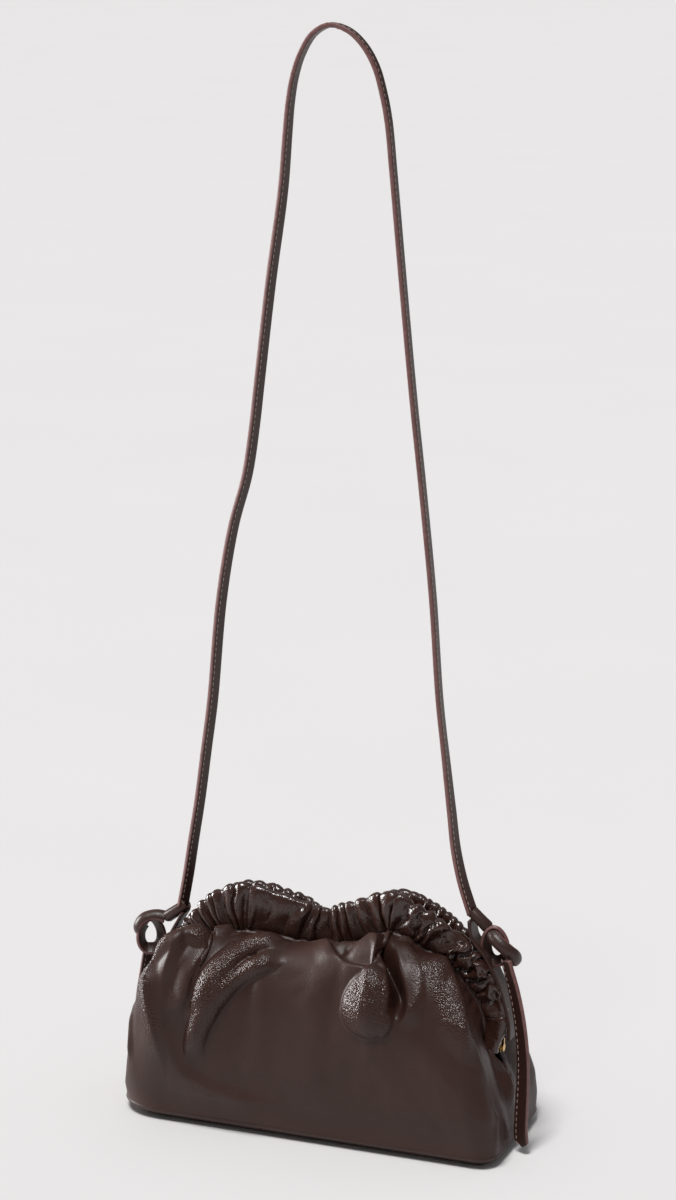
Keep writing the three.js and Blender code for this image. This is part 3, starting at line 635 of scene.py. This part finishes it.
def nappa_leather(name, colour, dark, roughness, coat, pebble, bump, plain=None):
    """Drum-dyed nappa with a pressed fine grain: a soft broad shine broken up by pebbles. Where plain
    is given, flat leather has that roughness, and only its folds are rubbed to a shine."""
    tree, where = new_material(name)
    warp = clouds(tree, where, 400.0, 2.0)
    bent = add_node(tree, "ShaderNodeMix", {"data_type": "VECTOR"},
                    {0: 0.0006, 4: where, 5: warp.outputs["Color"]})
    grain = add_node(tree, "ShaderNodeTexVoronoi", {"feature": "SMOOTH_F1"},
                     {"Vector": bent.outputs[1], "Scale": 1 / pebble, "Smoothness": 0.35})
    fine = clouds(tree, where, 0.6 / pebble, 3.0)
    rise = add_node(tree, "ShaderNodeMath", {"operation": "MULTIPLY_ADD"},
                    {0: grain.outputs["Distance"], 1: -1.0, 2: fine.outputs["Fac"]})
    patches = clouds(tree, where, 28.0, 3.0).outputs["Fac"]
    strength = bump
    if plain is None:
        shine = ranged(tree, patches, roughness - 0.05, roughness + 0.05)
    else:
        creased = add_node(tree, "ShaderNodeAttribute", {"attribute_name": "creased"}).outputs["Fac"]
        shine = ranged(tree, creased, plain, roughness)
        strength = ranged(tree, creased, bump * 0.25, bump)
    normal = relief(tree, strength, pebble * 0.4, rise.outputs[0])
    close_material(tree, {
        "Base Color": two_tones(tree, patches, dark, colour), "Roughness": shine,
        "Specular IOR Level": 0.36, "Coat Weight": coat, "Coat Roughness": 0.12, "Normal": normal,
        "Coat Normal": normal})


def edge_paint():
    """Acrylic edge paint on the cut edges of the strap: a plain satin film, redder than the face."""
    tree, where = new_material("edge_paint")
    uneven = clouds(tree, where, 300.0, 3.0).outputs["Fac"]
    close_material(tree, {
        "Base Color": two_tones(tree, uneven, "#4a2c2c", "#7a5450"), "Roughness": 0.45,
        "Normal": relief(tree, 0.3, 0.0002, uneven)})


def sewing_thread():
    """Bonded nylon thread, dyed to the leather: its twist shows as fine slanted bands."""
    tree, where = new_material("sewing_thread")
    twist = add_node(tree, "ShaderNodeTexWave", {"bands_direction": "DIAGONAL"}, {
        "Vector": where, "Scale": 900.0}).outputs["Fac"]
    close_material(tree, {
        "Base Color": linear("#9a8078"), "Roughness": 0.5, "Sheen Weight": 0.2,
        "Normal": relief(tree, 0.5, 0.0001, twist)})


def polished_brass():
    """Polished and lacquered brass: a warm mirror with faint wear."""
    tree, where = new_material("polished_brass")
    wear = clouds(tree, where, 500.0, 4.0).outputs["Fac"]
    close_material(tree, {
        "Base Color": linear("#c9a35a"), "Metallic": 1.0, "Roughness": ranged(tree, wear, 0.14, 0.32)})


def studio_paper():
    """Matt white studio paper, very slightly warm, with no visible grain at this distance."""
    tree, where = new_material("studio_paper")
    tone = clouds(tree, where, 3.0, 2.0).outputs["Fac"]
    close_material(tree, {
        "Base Color": two_tones(tree, tone, "#e3e1e1", "#e6e4e4"), "Roughness": 0.9,
        "Specular IOR Level": 0.2})


def make_camera():
    azimuth, pitch = math.radians(CAMERA_AZIMUTH), math.radians(CAMERA_PITCH)
    back = np.array([math.sin(azimuth) * math.cos(pitch), -math.cos(azimuth) * math.cos(pitch),
                     math.sin(pitch)])
    data = bpy.data.cameras.new("camera")
    data.sensor_width = SENSOR
    data.lens = CAMERA_FOCAL_PIXELS * SENSOR / PHOTO_HEIGHT
    data.clip_end = 100
    camera = add_object("camera", data)
    camera.location = place(np.array(CAMERA_TARGET) + back * CAMERA_DISTANCE)
    camera.rotation_euler = (math.pi / 2 - pitch, 0, azimuth)
    bpy.context.scene.camera = camera


def make_sun(name, aim, energy, angle):
    """A far light that shines from the direction of aim."""
    data = bpy.data.lights.new(name, "SUN")
    data.energy, data.angle = energy, math.radians(angle)
    lamp = add_object(name, data)
    direction = np.array(aim, float)
    direction /= np.linalg.norm(direction)
    lamp.rotation_euler = (math.acos(direction[2]), 0, math.atan2(direction[0], -direction[1]))
    return lamp


def make_world(low, high, seen):
    """A room that is dim all round and bright overhead. The camera sees it as a pale backdrop."""
    world = bpy.data.worlds.new("studio")
    bpy.context.scene.world = world
    world.use_nodes = True
    tree = world.node_tree
    tree.nodes.clear()
    way = add_node(tree, "ShaderNodeTexCoord").outputs["Generated"]
    height = add_node(tree, "ShaderNodeSeparateXYZ", inputs={"Vector": way}).outputs["Z"]
    dim = add_node(tree, "ShaderNodeBackground", inputs={
        "Color": (1, 1, 1, 1), "Strength": ranged(tree, height, low, high)})
    pale = add_node(tree, "ShaderNodeBackground", inputs={"Color": linear(seen), "Strength": 1.0})
    path = add_node(tree, "ShaderNodeLightPath")
    both = add_node(tree, "ShaderNodeMixShader", inputs={
        0: path.outputs["Is Camera Ray"], 1: dim.outputs[0], 2: pale.outputs[0]})
    add_node(tree, "ShaderNodeOutputWorld", inputs={"Surface": both.outputs[0]})


def band(name, points, wide, width, thickness, materials, closed=False, crown=0.0, tip=0.0):
    """A flat strap along a line, with rounded painted edges. wide is its width's direction at each
    point, crown curves its section, and tip cuts its far end to a slant."""
    points, wide = np.asarray(points, float), np.asarray(wide, float)
    along = np.gradient(points, axis=0)
    if closed:
        along = np.roll(points, -1, 0) - np.roll(points, 1, 0)
    along /= np.linalg.norm(along, axis=1, keepdims=True)
    wide = wide - along * np.sum(wide * along, axis=1, keepdims=True)
    wide /= np.linalg.norm(wide, axis=1, keepdims=True)
    face = np.cross(along, wide)
    half, thin, edge = width / 2, thickness / 2, min(0.9, thickness * 0.3)
    flat = np.linspace(-1, 1, 7) * (half - edge)
    corner = [(half - edge * (1 - math.sin(a)), thin - edge * (1 - math.cos(a)))
              for a in np.linspace(0, math.pi / 2, 4)[1:]]
    top = [(x, thin) for x in flat] + corner
    bottom = [(x, -y) for x, y in reversed(top)]
    section = np.array(top + bottom + [(-x, -y) for x, y in corner]
                       + [(-x, y) for x, y in reversed(corner)])
    section[:, 1] += crown * (1 - (section[:, 0] / half) ** 2)
    painted = np.abs(section[:, 0]) > half - edge * 0.9
    sides = len(section)
    rings = points[:, None] + wide[:, None] * section[None, :, :1] + face[:, None] * section[None, :, 1:]
    if tip:
        share = np.clip((np.arange(len(points)) - len(points) + 20) / 19, 0, 1)[:, None, None]
        rings = rings - along[:, None] * np.abs(section[None, :, :1] / width - 0.12) * tip * share
    faces = ring_faces(len(points), sides, closed)
    slots = (painted & np.roll(painted, -1)).astype(int).tolist() * (len(faces) // sides)
    vertices = rings.reshape(-1, 3)
    if not closed:
        last = (len(points) - 1) * sides
        faces += [tuple(reversed(range(sides))), tuple(range(last, last + sides))]
        slots += [1, 1]
    return new_object(name, vertices, faces, materials, slots), face, wide


def resampled(points, count):
    line, _ = line_through(points, 24)
    way = lengths(line)
    even = np.linspace(0, way[-1], count)
    return np.column_stack([np.interp(even, way, line[:, k]) for k in range(line.shape[1])]), way[-1]


def stitch_tree():
    """Geometry nodes that lay stitches along a line."""
    tree = bpy.data.node_groups.new("stitch_row", "GeometryNodeTree")
    face = tree.interface
    face.new_socket("Geometry", in_out="INPUT", socket_type="NodeSocketGeometry")
    for name, value in (("Pitch", 0.004), ("Stitch length", 0.003), ("Thread radius", 0.0003)):
        socket = face.new_socket(name, in_out="INPUT", socket_type="NodeSocketFloat")
        socket.default_value = value
    face.new_socket("Thread", in_out="INPUT", socket_type="NodeSocketMaterial")
    face.new_socket("Geometry", in_out="OUTPUT", socket_type="NodeSocketGeometry")
    inside = add_node(tree, "NodeGroupInput").outputs
    line = add_node(tree, "GeometryNodeMeshToCurve", inputs={"Mesh": inside["Geometry"]})
    even = add_node(tree, "GeometryNodeResampleCurve", {"mode": "LENGTH"}, {
        "Curve": line.outputs[0], "Length": inside["Pitch"]})
    thread = add_node(tree, "GeometryNodeMeshUVSphere", inputs={
        "Segments": 8, "Rings": 6, "Radius": 1.0})
    half = add_node(tree, "ShaderNodeMath", {"operation": "MULTIPLY"}, {
        0: inside["Stitch length"], 1: 0.5})
    size = add_node(tree, "ShaderNodeCombineXYZ", inputs={
        "X": inside["Thread radius"], "Y": inside["Thread radius"], "Z": half.outputs[0]})
    tangent = add_node(tree, "GeometryNodeInputTangent")
    turn = add_node(tree, "FunctionNodeAlignRotationToVector", {"axis": "Z"}, {
        "Vector": tangent.outputs[0]})
    placed = add_node(tree, "GeometryNodeInstanceOnPoints", inputs={
        "Points": even.outputs[0], "Instance": thread.outputs[0], "Rotation": turn.outputs[0],
        "Scale": size.outputs[0]})
    real = add_node(tree, "GeometryNodeRealizeInstances", inputs={"Geometry": placed.outputs[0]})
    shaded = add_node(tree, "GeometryNodeSetShadeSmooth", inputs={"Geometry": real.outputs[0]})
    dyed = add_node(tree, "GeometryNodeSetMaterial", inputs={
        "Geometry": shaded.outputs[0], "Material": inside["Thread"]})
    add_node(tree, "NodeGroupOutput", inputs={"Geometry": dyed.outputs[0]})
    return tree


def stitch_row(name, points, pitch):
    """Stitches along a line of the bag's frame, as one plain mesh."""
    mesh = bpy.data.meshes.new(name + "_line")
    mesh.from_pydata(place(points).tolist(), [(i, i + 1) for i in range(len(points) - 1)], [])
    guide = add_object(name + "_line", mesh)
    tree = bpy.data.node_groups.get("stitch_row") or stitch_tree()
    modifier = guide.modifiers.new("stitches", "NODES")
    modifier.node_group = tree
    values = {"Pitch": pitch, "Stitch length": STITCH_LENGTH, "Thread radius": THREAD_RADIUS,
              "Thread": bpy.data.materials["sewing_thread"]}
    for item in tree.interface.items_tree:
        if item.item_type == "SOCKET" and item.in_out == "INPUT" and item.name in values:
            modifier[item.identifier] = values[item.name]
    graph = bpy.context.evaluated_depsgraph_get()
    made = bpy.data.meshes.new_from_object(guide.evaluated_get(graph), depsgraph=graph)
    guide.modifiers.remove(modifier)
    bpy.data.objects.remove(guide)
    bpy.data.meshes.remove(mesh)
    made.name = name
    return add_object(name, made)


class PouchSizes(bpy.types.PropertyGroup):
    """Sizes of the strap and the leather that a maker may change."""

    strap_width: bpy.props.FloatProperty(
        name="Strap width", description="Width of the flat strap", default=0.0085, unit="LENGTH")
    strap_thickness: bpy.props.FloatProperty(
        name="Strap thickness", description="Thickness of the strap's two plies", default=0.003,
        unit="LENGTH")
    tail_width: bpy.props.FloatProperty(
        name="Tail width", description="Width of the strap's hanging ends", default=0.010,
        unit="LENGTH")
    stitch_pitch: bpy.props.FloatProperty(
        name="Stitch pitch", description="Distance from stitch to stitch", default=0.004,
        unit="LENGTH")
    pebble: bpy.props.FloatProperty(
        name="Pebble size", description="Size of the leather's grain", default=0.001, unit="LENGTH")


class PouchColours(bpy.types.PropertyGroup):
    """Colours of the bag's leathers."""

    body: bpy.props.StringProperty(
        name="Body leather", description="Colour of the body, as hex", default="#36201a")
    body_dark: bpy.props.StringProperty(
        name="Body leather, dark", description="Darker cloud of the body's colour", default="#2c1914")
    strap: bpy.props.StringProperty(
        name="Strap leather", description="Colour of the strap's faces, as hex", default="#38241f")


def strap_materials():
    return [bpy.data.materials["strap_nappa"], bpy.data.materials["edge_paint"]]


class POUCH_OT_stage(bpy.types.Operator):
    """Sets the floor, lights, world and camera"""

    bl_idname = "pouch.stage"
    bl_label = "Stage"

    def execute(self, context):
        make_camera()
        bpy.context.scene.view_settings.view_transform = "Standard"
        size = FLOOR_HALF
        mesh = bpy.data.meshes.new("floor")
        mesh.from_pydata([(-size, -size, FLOOR), (size, -size, FLOOR), (size, size, FLOOR),
                          (-size, size, FLOOR)], [], [(0, 1, 2, 3)])
        studio_paper()
        mesh.materials.append(bpy.data.materials["studio_paper"])
        floor = add_object("floor", mesh)
        key = make_sun("left_box", *LEFT_BOX)
        unlit = bpy.data.collections.new("not_lit_by_left_box")
        unlit.objects.link(floor)
        unlit.collection_objects[0].light_linking.link_state = "EXCLUDE"
        key.light_linking.receiver_collection = unlit
        make_sun("overhead_box", *OVERHEAD_BOX)
        make_world(ROOM_LOW, ROOM_HIGH, BACKDROP)
        return {"FINISHED"}


class POUCH_OT_materials(bpy.types.Operator):
    """Makes the leathers, the edge paint, the thread and the brass"""

    bl_idname = "pouch.materials"
    bl_label = "Materials"

    def execute(self, context):
        sizes, colours = context.scene.pouch_sizes, context.scene.pouch_colours
        body, dark, pebble = colours.body, colours.body_dark, sizes.pebble
        nappa_leather("body_nappa", body, dark, 0.19, 0.0, pebble, 0.9, 0.45)
        nappa_leather("gathered_nappa", body, dark, 0.19, 0.5, pebble, 0.35)
        nappa_leather("strap_nappa", colours.strap, dark, 0.40, 0.10, pebble * 0.7, 0.3)
        edge_paint()
        sewing_thread()
        polished_brass()
        return {"FINISHED"}


class POUCH_OT_strap(bpy.types.Operator):
    """Lays the strap along its route"""

    bl_idname = "pouch.strap"
    bl_label = "Strap"

    def execute(self, context):
        sizes = context.scene.pouch_sizes
        width, thickness = sizes.strap_width / MM, sizes.strap_thickness / MM
        route = [(x, 0, z) for x, z in STRAP_ROUTE]
        line, length = resampled(route, 520)
        share = np.linspace(0, 1, len(line))
        turn = np.radians(np.interp(share, *zip(*STRAP_TURN)))
        along = np.gradient(line, axis=0)
        along /= np.linalg.norm(along, axis=1, keepdims=True)
        flat = np.cross(along, (0, 1, 0))
        wide = np.array([(0, 1, 0)]) * np.cos(turn)[:, None] + flat * np.sin(turn)[:, None]
        strap, face, wide = band("strap_run", line, wide, width, thickness, strap_materials())
        finish_piece(strap, "root", ["strap"])
        for name, sign in (("strap_stitches_outer", 1), ("strap_stitches_inner", -1)):
            row = line - wide * (width / 2 - STRAP_STITCH_INSET) + face * sign * (thickness / 2)
            stitches = stitch_row(name, row, sizes.stitch_pitch)
            finish_piece(stitches, "root")
        place(line[0])
        place(line)
        return {"FINISHED"}


class POUCH_OT_knots(bpy.types.Operator):
    """Ties the strap's knots at both ends"""

    bl_idname = "pouch.knots"
    bl_label = "Knots"

    def execute(self, context):
        sizes = context.scene.pouch_sizes
        thickness = sizes.strap_thickness / MM
        cone = math.radians(LOOP_CONE)
        for name, (middle, turn) in LOOPS.items():
            angle = np.linspace(0, 2 * math.pi, 97)[:-1, None]
            x, z = np.cos(angle), np.sin(angle)
            level = 1 + 0.05 * np.cos(3 * angle + 1)
            loop = np.hstack([LOOP_HALF[0] * x * level, 0.8 * np.sin(2 * angle), LOOP_HALF[1] * z * level])
            wide = np.hstack([-x * math.sin(cone), np.full_like(x, math.cos(cone)), -z * math.sin(cone)])
            t = math.radians(turn)
            spin = np.array([(math.cos(t), -math.sin(t), 0), (math.sin(t), math.cos(t), 0), (0, 0, 1)])
            ring = band("knot_loop_" + name, loop @ spin.T + middle, wide @ spin.T, sizes.strap_width / MM,
                        thickness * 0.85, strap_materials(), closed=True)[0]
            finish_piece(ring, "root", ["knot_" + name])
            wrap, _ = resampled(WRAPS[name], 70)
            across = np.cross(np.gradient(wrap[:, :3], axis=0), wrap[:, 3:])
            over = band("knot_wrap_" + name, wrap[:, :3] + middle, across, WRAP_WIDTH, thickness * 0.9,
                        strap_materials(), crown=WRAP_CROWN)[0]
            finish_piece(over, "root")
        return {"FINISHED"}


class POUCH_OT_tails(bpy.types.Operator):
    """Hangs the strap's two ends below their knots"""

    bl_idname = "pouch.tails"
    bl_label = "Tails"

    def execute(self, context):
        sizes = context.scene.pouch_sizes
        width, thickness = sizes.tail_width / MM, sizes.strap_thickness / MM
        for name, route in TAIL_ROUTES.items():
            line, _ = resampled(route, 120)
            sign = -1 if name == "left" else 1
            back = (line[0] - line[6]) / np.linalg.norm(line[0] - line[6])
            top = np.linspace(line[0] + back * TAIL_TUCK[name], line[0], 6, endpoint=False)
            line = np.vstack([top, line])
            turn = np.radians(mix(60, 36, np.linspace(0, 1, len(line))) - CAMERA_AZIMUTH)
            wide = np.column_stack([np.cos(turn), np.sin(turn) * -sign, 0 * turn])
            tail, face, wide = band("tail_run_" + name, line, wide, width, thickness, strap_materials(),
                                    tip=TAIL_TIP)
            finish_piece(tail, "root", ["tail_" + name])
            front = -np.sign(face[0][1])
            row = line - wide * (width / 2 - TAIL_STITCH_INSET) + face * (front * thickness / 2)
            stitches = stitch_row("tail_stitches_" + name, row[:-3], sizes.stitch_pitch)
            finish_piece(stitches, "root")
            place(line[0])
            place(line)
        return {"FINISHED"}


class POUCH_OT_body(bpy.types.Operator):
    """Makes the body's leather with its folds"""

    bl_idname = "pouch.body"
    bl_label = "Body"

    def execute(self, context):
        front, back, rows = BODY_GRID
        share = np.concatenate([np.linspace(0, 1, front, endpoint=False),
                                np.linspace(1, 0, back, endpoint=False)])
        side = np.concatenate([np.full(front, -1.0), np.full(back, 1.0)])
        rise = np.linspace(0, 1, rows) ** 0.92
        grid_share, grid_rise = np.meshgrid(share, rise)
        grid_side = np.broadcast_to(side, grid_share.shape)
        outer, creased = folded_body(grid_share, grid_rise, grid_side)
        outer = even_out(outer)
        outer = np.concatenate([outer, tucked_top(share, side)])
        base = outer[0].copy()
        out = np.column_stack([np.interp(share, base_way, base_rows[:, 2]),
                               np.interp(share, base_way, base_rows[:, 3]) * -side, np.zeros(len(share))])
        foot = [base + out * inset + (0, 0, up) for inset, up in SOLE_ROWS]
        above = outer[:, :, 2].min(1) > SOLE_TOP
        body = outer[above]
        creased = np.concatenate([creased, np.repeat(creased[-1:], len(outer) - len(creased), 0)])[above]
        rings = np.concatenate([foot, body])
        # The inner face of the wall, from the mouth down to the sole
        normal = grid_normals(rings)
        keep = np.unique(np.linspace(0, len(rings) - 1, INNER_ROWS).astype(int))[::-1]
        inner = (rings - normal * LEATHER_WALL)[keep]
        inner[..., 2] = np.maximum(inner[..., 2], LEATHER_WALL)
        whole = np.concatenate([rings, inner])
        count, sides = whole.shape[:2]
        vertices = np.concatenate([whole.reshape(-1, 3), whole[:1].mean(1), whole[-1:].mean(1)])
        faces = ring_faces(count, sides)
        bottom, last = count * sides, (count - 1) * sides
        for s in range(sides):
            n = (s + 1) % sides
            faces.append((bottom, n, s))
            faces.append((bottom + 1, last + s, last + n))
        # How far each place is creased, for the leather's shine
        shell = new_object("pouch_leather", vertices, faces, [bpy.data.materials["body_nappa"]])
        polish = np.zeros(len(vertices))
        polish[len(foot) * sides:len(rings) * sides] = creased.reshape(-1)
        shell.data.attributes.new("creased", "FLOAT", "POINT").data.foreach_set("value", polish)
        finish_piece(shell, "root", ["pouch_shell"])
        return {"FINISHED"}


def even_out(rings):
    """Softens a surface by moving each place halfway to the middle of its neighbours."""
    around = (np.roll(rings, 1, 1) + np.roll(rings, -1, 1)) / 2
    between = rings.copy()
    between[1:-1] = (rings[2:] + rings[:-2]) / 2
    return rings * 0.5 + (around + between) * 0.25


def tucked_top(share, side):
    """Rows that carry the body's top edge on into the channel that it is sewn to."""
    place_on = np.clip((share - FOOT_SHARE) / (1 - 2 * FOOT_SHARE), 0, 1)
    _, _, ix, iz, _, offset = arch_at(place_on, side)
    seam = plain_body(share, np.ones(len(share)), side)
    inboard = smooth(np.minimum(share, 1 - share) / FOOT_SHARE - 0.6)
    rows = []
    for up, over in TUCK_ROWS:
        row = seam.copy()
        row[:, 0] -= ix * up * inboard
        row[:, 1] += side * (offset - np.abs(seam[:, 1])) * over * inboard
        row[:, 2] -= iz * up * inboard
        rows.append(row)
    return np.array(rows)


def grid_normals(rings):
    across = np.roll(rings, -1, 1) - np.roll(rings, 1, 1)
    up = np.gradient(rings, axis=0)
    normal = np.cross(across, up)
    return normal / (np.linalg.norm(normal, axis=-1, keepdims=True) + 1e-9)


def channel_rings(side, panel):
    """A ruched channel: a flat tube along the arch with pleats round it."""
    share = np.linspace(0, 1, CHANNEL_RINGS)[:, None]
    angle = np.linspace(0, 2 * math.pi, CHANNEL_SIDES, endpoint=False)[None] + 0.001
    down, out = np.cos(angle), np.sin(angle)
    tall = np.sign(down) * np.abs(down) ** 0.75
    wide = np.sign(out) * np.abs(out) ** 0.6
    count, row = pleat_phase(share, panel)
    depth, ruffle, wander = row[..., 1], row[..., 2], row[..., 3]
    seed = 21 if side < 0 else 31
    drift = wander * (0.5 * noise(share * 30, tall * 1.5, seed)
                      + 0.25 * noise(share * 80, tall * 3, seed + 1))
    phase = count + drift + 0.15 * tall
    # Each pleat has its own strength, skew and lean
    number = np.floor(phase)
    strength = 0.8 + 0.4 * noise(number * 1.7, 0 * number, seed + 2)
    skew = 1 + 0.5 * noise(number * 2.3 + 9, 0 * number, seed + 6)
    pleat = (np.sin(math.pi * (phase - number) ** skew) ** 0.65 - 0.62) * depth * strength
    lean = (0.35 * depth * (pleat / (depth + 1e-9) + 0.62)
            * noise(number * 1.3 + 5, 0 * number, seed + 7) * 2)
    ends = mix(0.75, 1, smooth(np.minimum(share, 1 - share) / FOOT_SHARE))
    x, z, ix, iz, half, offset = arch_at(share + lean * ends / ARCH_LENGTH, side)
    # The section: half its depth and thickness, then the ruffles of its outer edge
    half_thick = CHANNEL_THICKNESS / 2 * (1 + 0.12 * noise(share * 18, tall, seed + 3))
    deep = half * ends + pleat * mix(0.5, 0.75, down < 0) * np.abs(down)
    deep = deep + 0.8 * noise(share * 22, 0 * share, seed + 4) * (down < 0)
    thick = half_thick * ends + pleat * np.abs(out)
    wave = ruffle * (0.6 * np.sin(math.pi * phase) + 0.8 * noise(phase * 1.1, tall * 0.7, seed + 5))
    wave = wave * smooth(-tall * 0.7 + 0.4)
    reach = tall * deep
    hang = TONGUE * smooth((share - TONGUE_START) / (1 - TONGUE_START)) * (side < 0)
    return np.stack([x + ix * reach - hang * 0.4, side * (offset + wide * thick + wave * 0.6 + hang * 0.5),
                     z + iz * reach - hang], -1)


class POUCH_OT_channels(bpy.types.Operator):
    """Makes the two ruched channels over the inner frame"""

    bl_idname = "pouch.channels"
    bl_label = "Channels"

    def execute(self, context):
        for panel, side in (("front", -1), ("back", 1)):
            rings = channel_rings(side, panel)
            if side < 0:
                rings = rings[:, ::-1]
            count, sides = rings.shape[:2]
            last = (count - 1) * sides
            faces = [face[::-1] for face in ring_faces(count, sides)]
            faces += [tuple(range(sides)), tuple(reversed(range(last, last + sides)))]
            piece = new_object("channel_" + panel, rings.reshape(-1, 3), faces,
                               [bpy.data.materials["gathered_nappa"]])
            finish_piece(piece, "root", ["rim_" + panel])
        return {"FINISHED"}


class POUCH_OT_tabs(bpy.types.Operator):
    """Makes the tabs with the rolls that hold the strap"""

    bl_idname = "pouch.tabs"
    bl_label = "Tabs"

    def execute(self, context):
        materials = [bpy.data.materials["body_nappa"], bpy.data.materials["body_nappa"]]
        for name, line in TAB_LINES.items():
            route, _ = resampled([(x, 0, z) for x, z in line], 90)
            wide = np.tile((0.0, 1.0, 0.0), (len(route), 1))
            strip = band("tab_strip_" + name, route, wide, TAB_WIDTH, TAB_THICKNESS, materials)[0]
            finish_piece(strip, "root", ["tab_" + name])
            start, end = (np.array((x, 0.0, z)) for x, z in ROLL_LINES[name])
            along = end - start
            along /= np.linalg.norm(along)
            side_way = np.cross(along, (0, 1, 0))
            angle = np.linspace(0, 2 * math.pi, 33)[:-1, None]
            circle = (0, 1, 0) * np.cos(angle) + side_way * np.sin(angle)
            wrinkle = 1 + 0.05 * np.sin(5 * angle + 1)
            rings = np.array([start + (end - start) * way + circle * radius * wrinkle
                              for radius, way in ROLL_RINGS])
            faces = ring_faces(len(rings), len(angle), True)
            roll = new_object("tab_roll_" + name, rings.reshape(-1, 3), faces, materials[:1])
            finish_piece(roll, "root")
        return {"FINISHED"}


class POUCH_OT_hinges(bpy.types.Operator):
    """Gives the hinges their brass"""

    bl_idname = "pouch.hinges"
    bl_label = "Hinges"

    def execute(self, context):
        for name in ("hinge_left", "hinge_right"):
            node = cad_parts[name]
            node.data.materials.clear()
            node.data.materials.append(bpy.data.materials["polished_brass"])
        return {"FINISHED"}


class POUCH_PT_panel(bpy.types.Panel):
    """Lists the steps that make the bag"""

    bl_idname = "POUCH_PT_panel"
    bl_label = "Pouch"
    bl_space_type = "VIEW_3D"
    bl_region_type = "UI"
    bl_category = "Pouch"

    def draw(self, context):
        for group in (context.scene.pouch_sizes, context.scene.pouch_colours):
            for key in group.__annotations__:
                self.layout.prop(group, key)
        for step in OPERATORS:
            self.layout.operator(step.bl_idname)


OPERATORS = (POUCH_OT_stage, POUCH_OT_materials, POUCH_OT_strap, POUCH_OT_tails, POUCH_OT_knots,
             POUCH_OT_body, POUCH_OT_channels, POUCH_OT_tabs, POUCH_OT_hinges)
CLASSES = (PouchSizes, PouchColours, *OPERATORS, POUCH_PT_panel)


def register():
    for item in CLASSES:
        bpy.utils.register_class(item)
    bpy.types.Scene.pouch_sizes = bpy.props.PointerProperty(type=PouchSizes)
    bpy.types.Scene.pouch_colours = bpy.props.PointerProperty(type=PouchColours)


def unregister():
    del bpy.types.Scene.pouch_colours
    del bpy.types.Scene.pouch_sizes
    for item in reversed(CLASSES):
        bpy.utils.unregister_class(item)


def main():
    register()
    for step in OPERATORS:
        group, name = step.bl_idname.split(".")
        getattr(getattr(bpy.ops, group), name)()


if __name__ == "__main__":
    main()
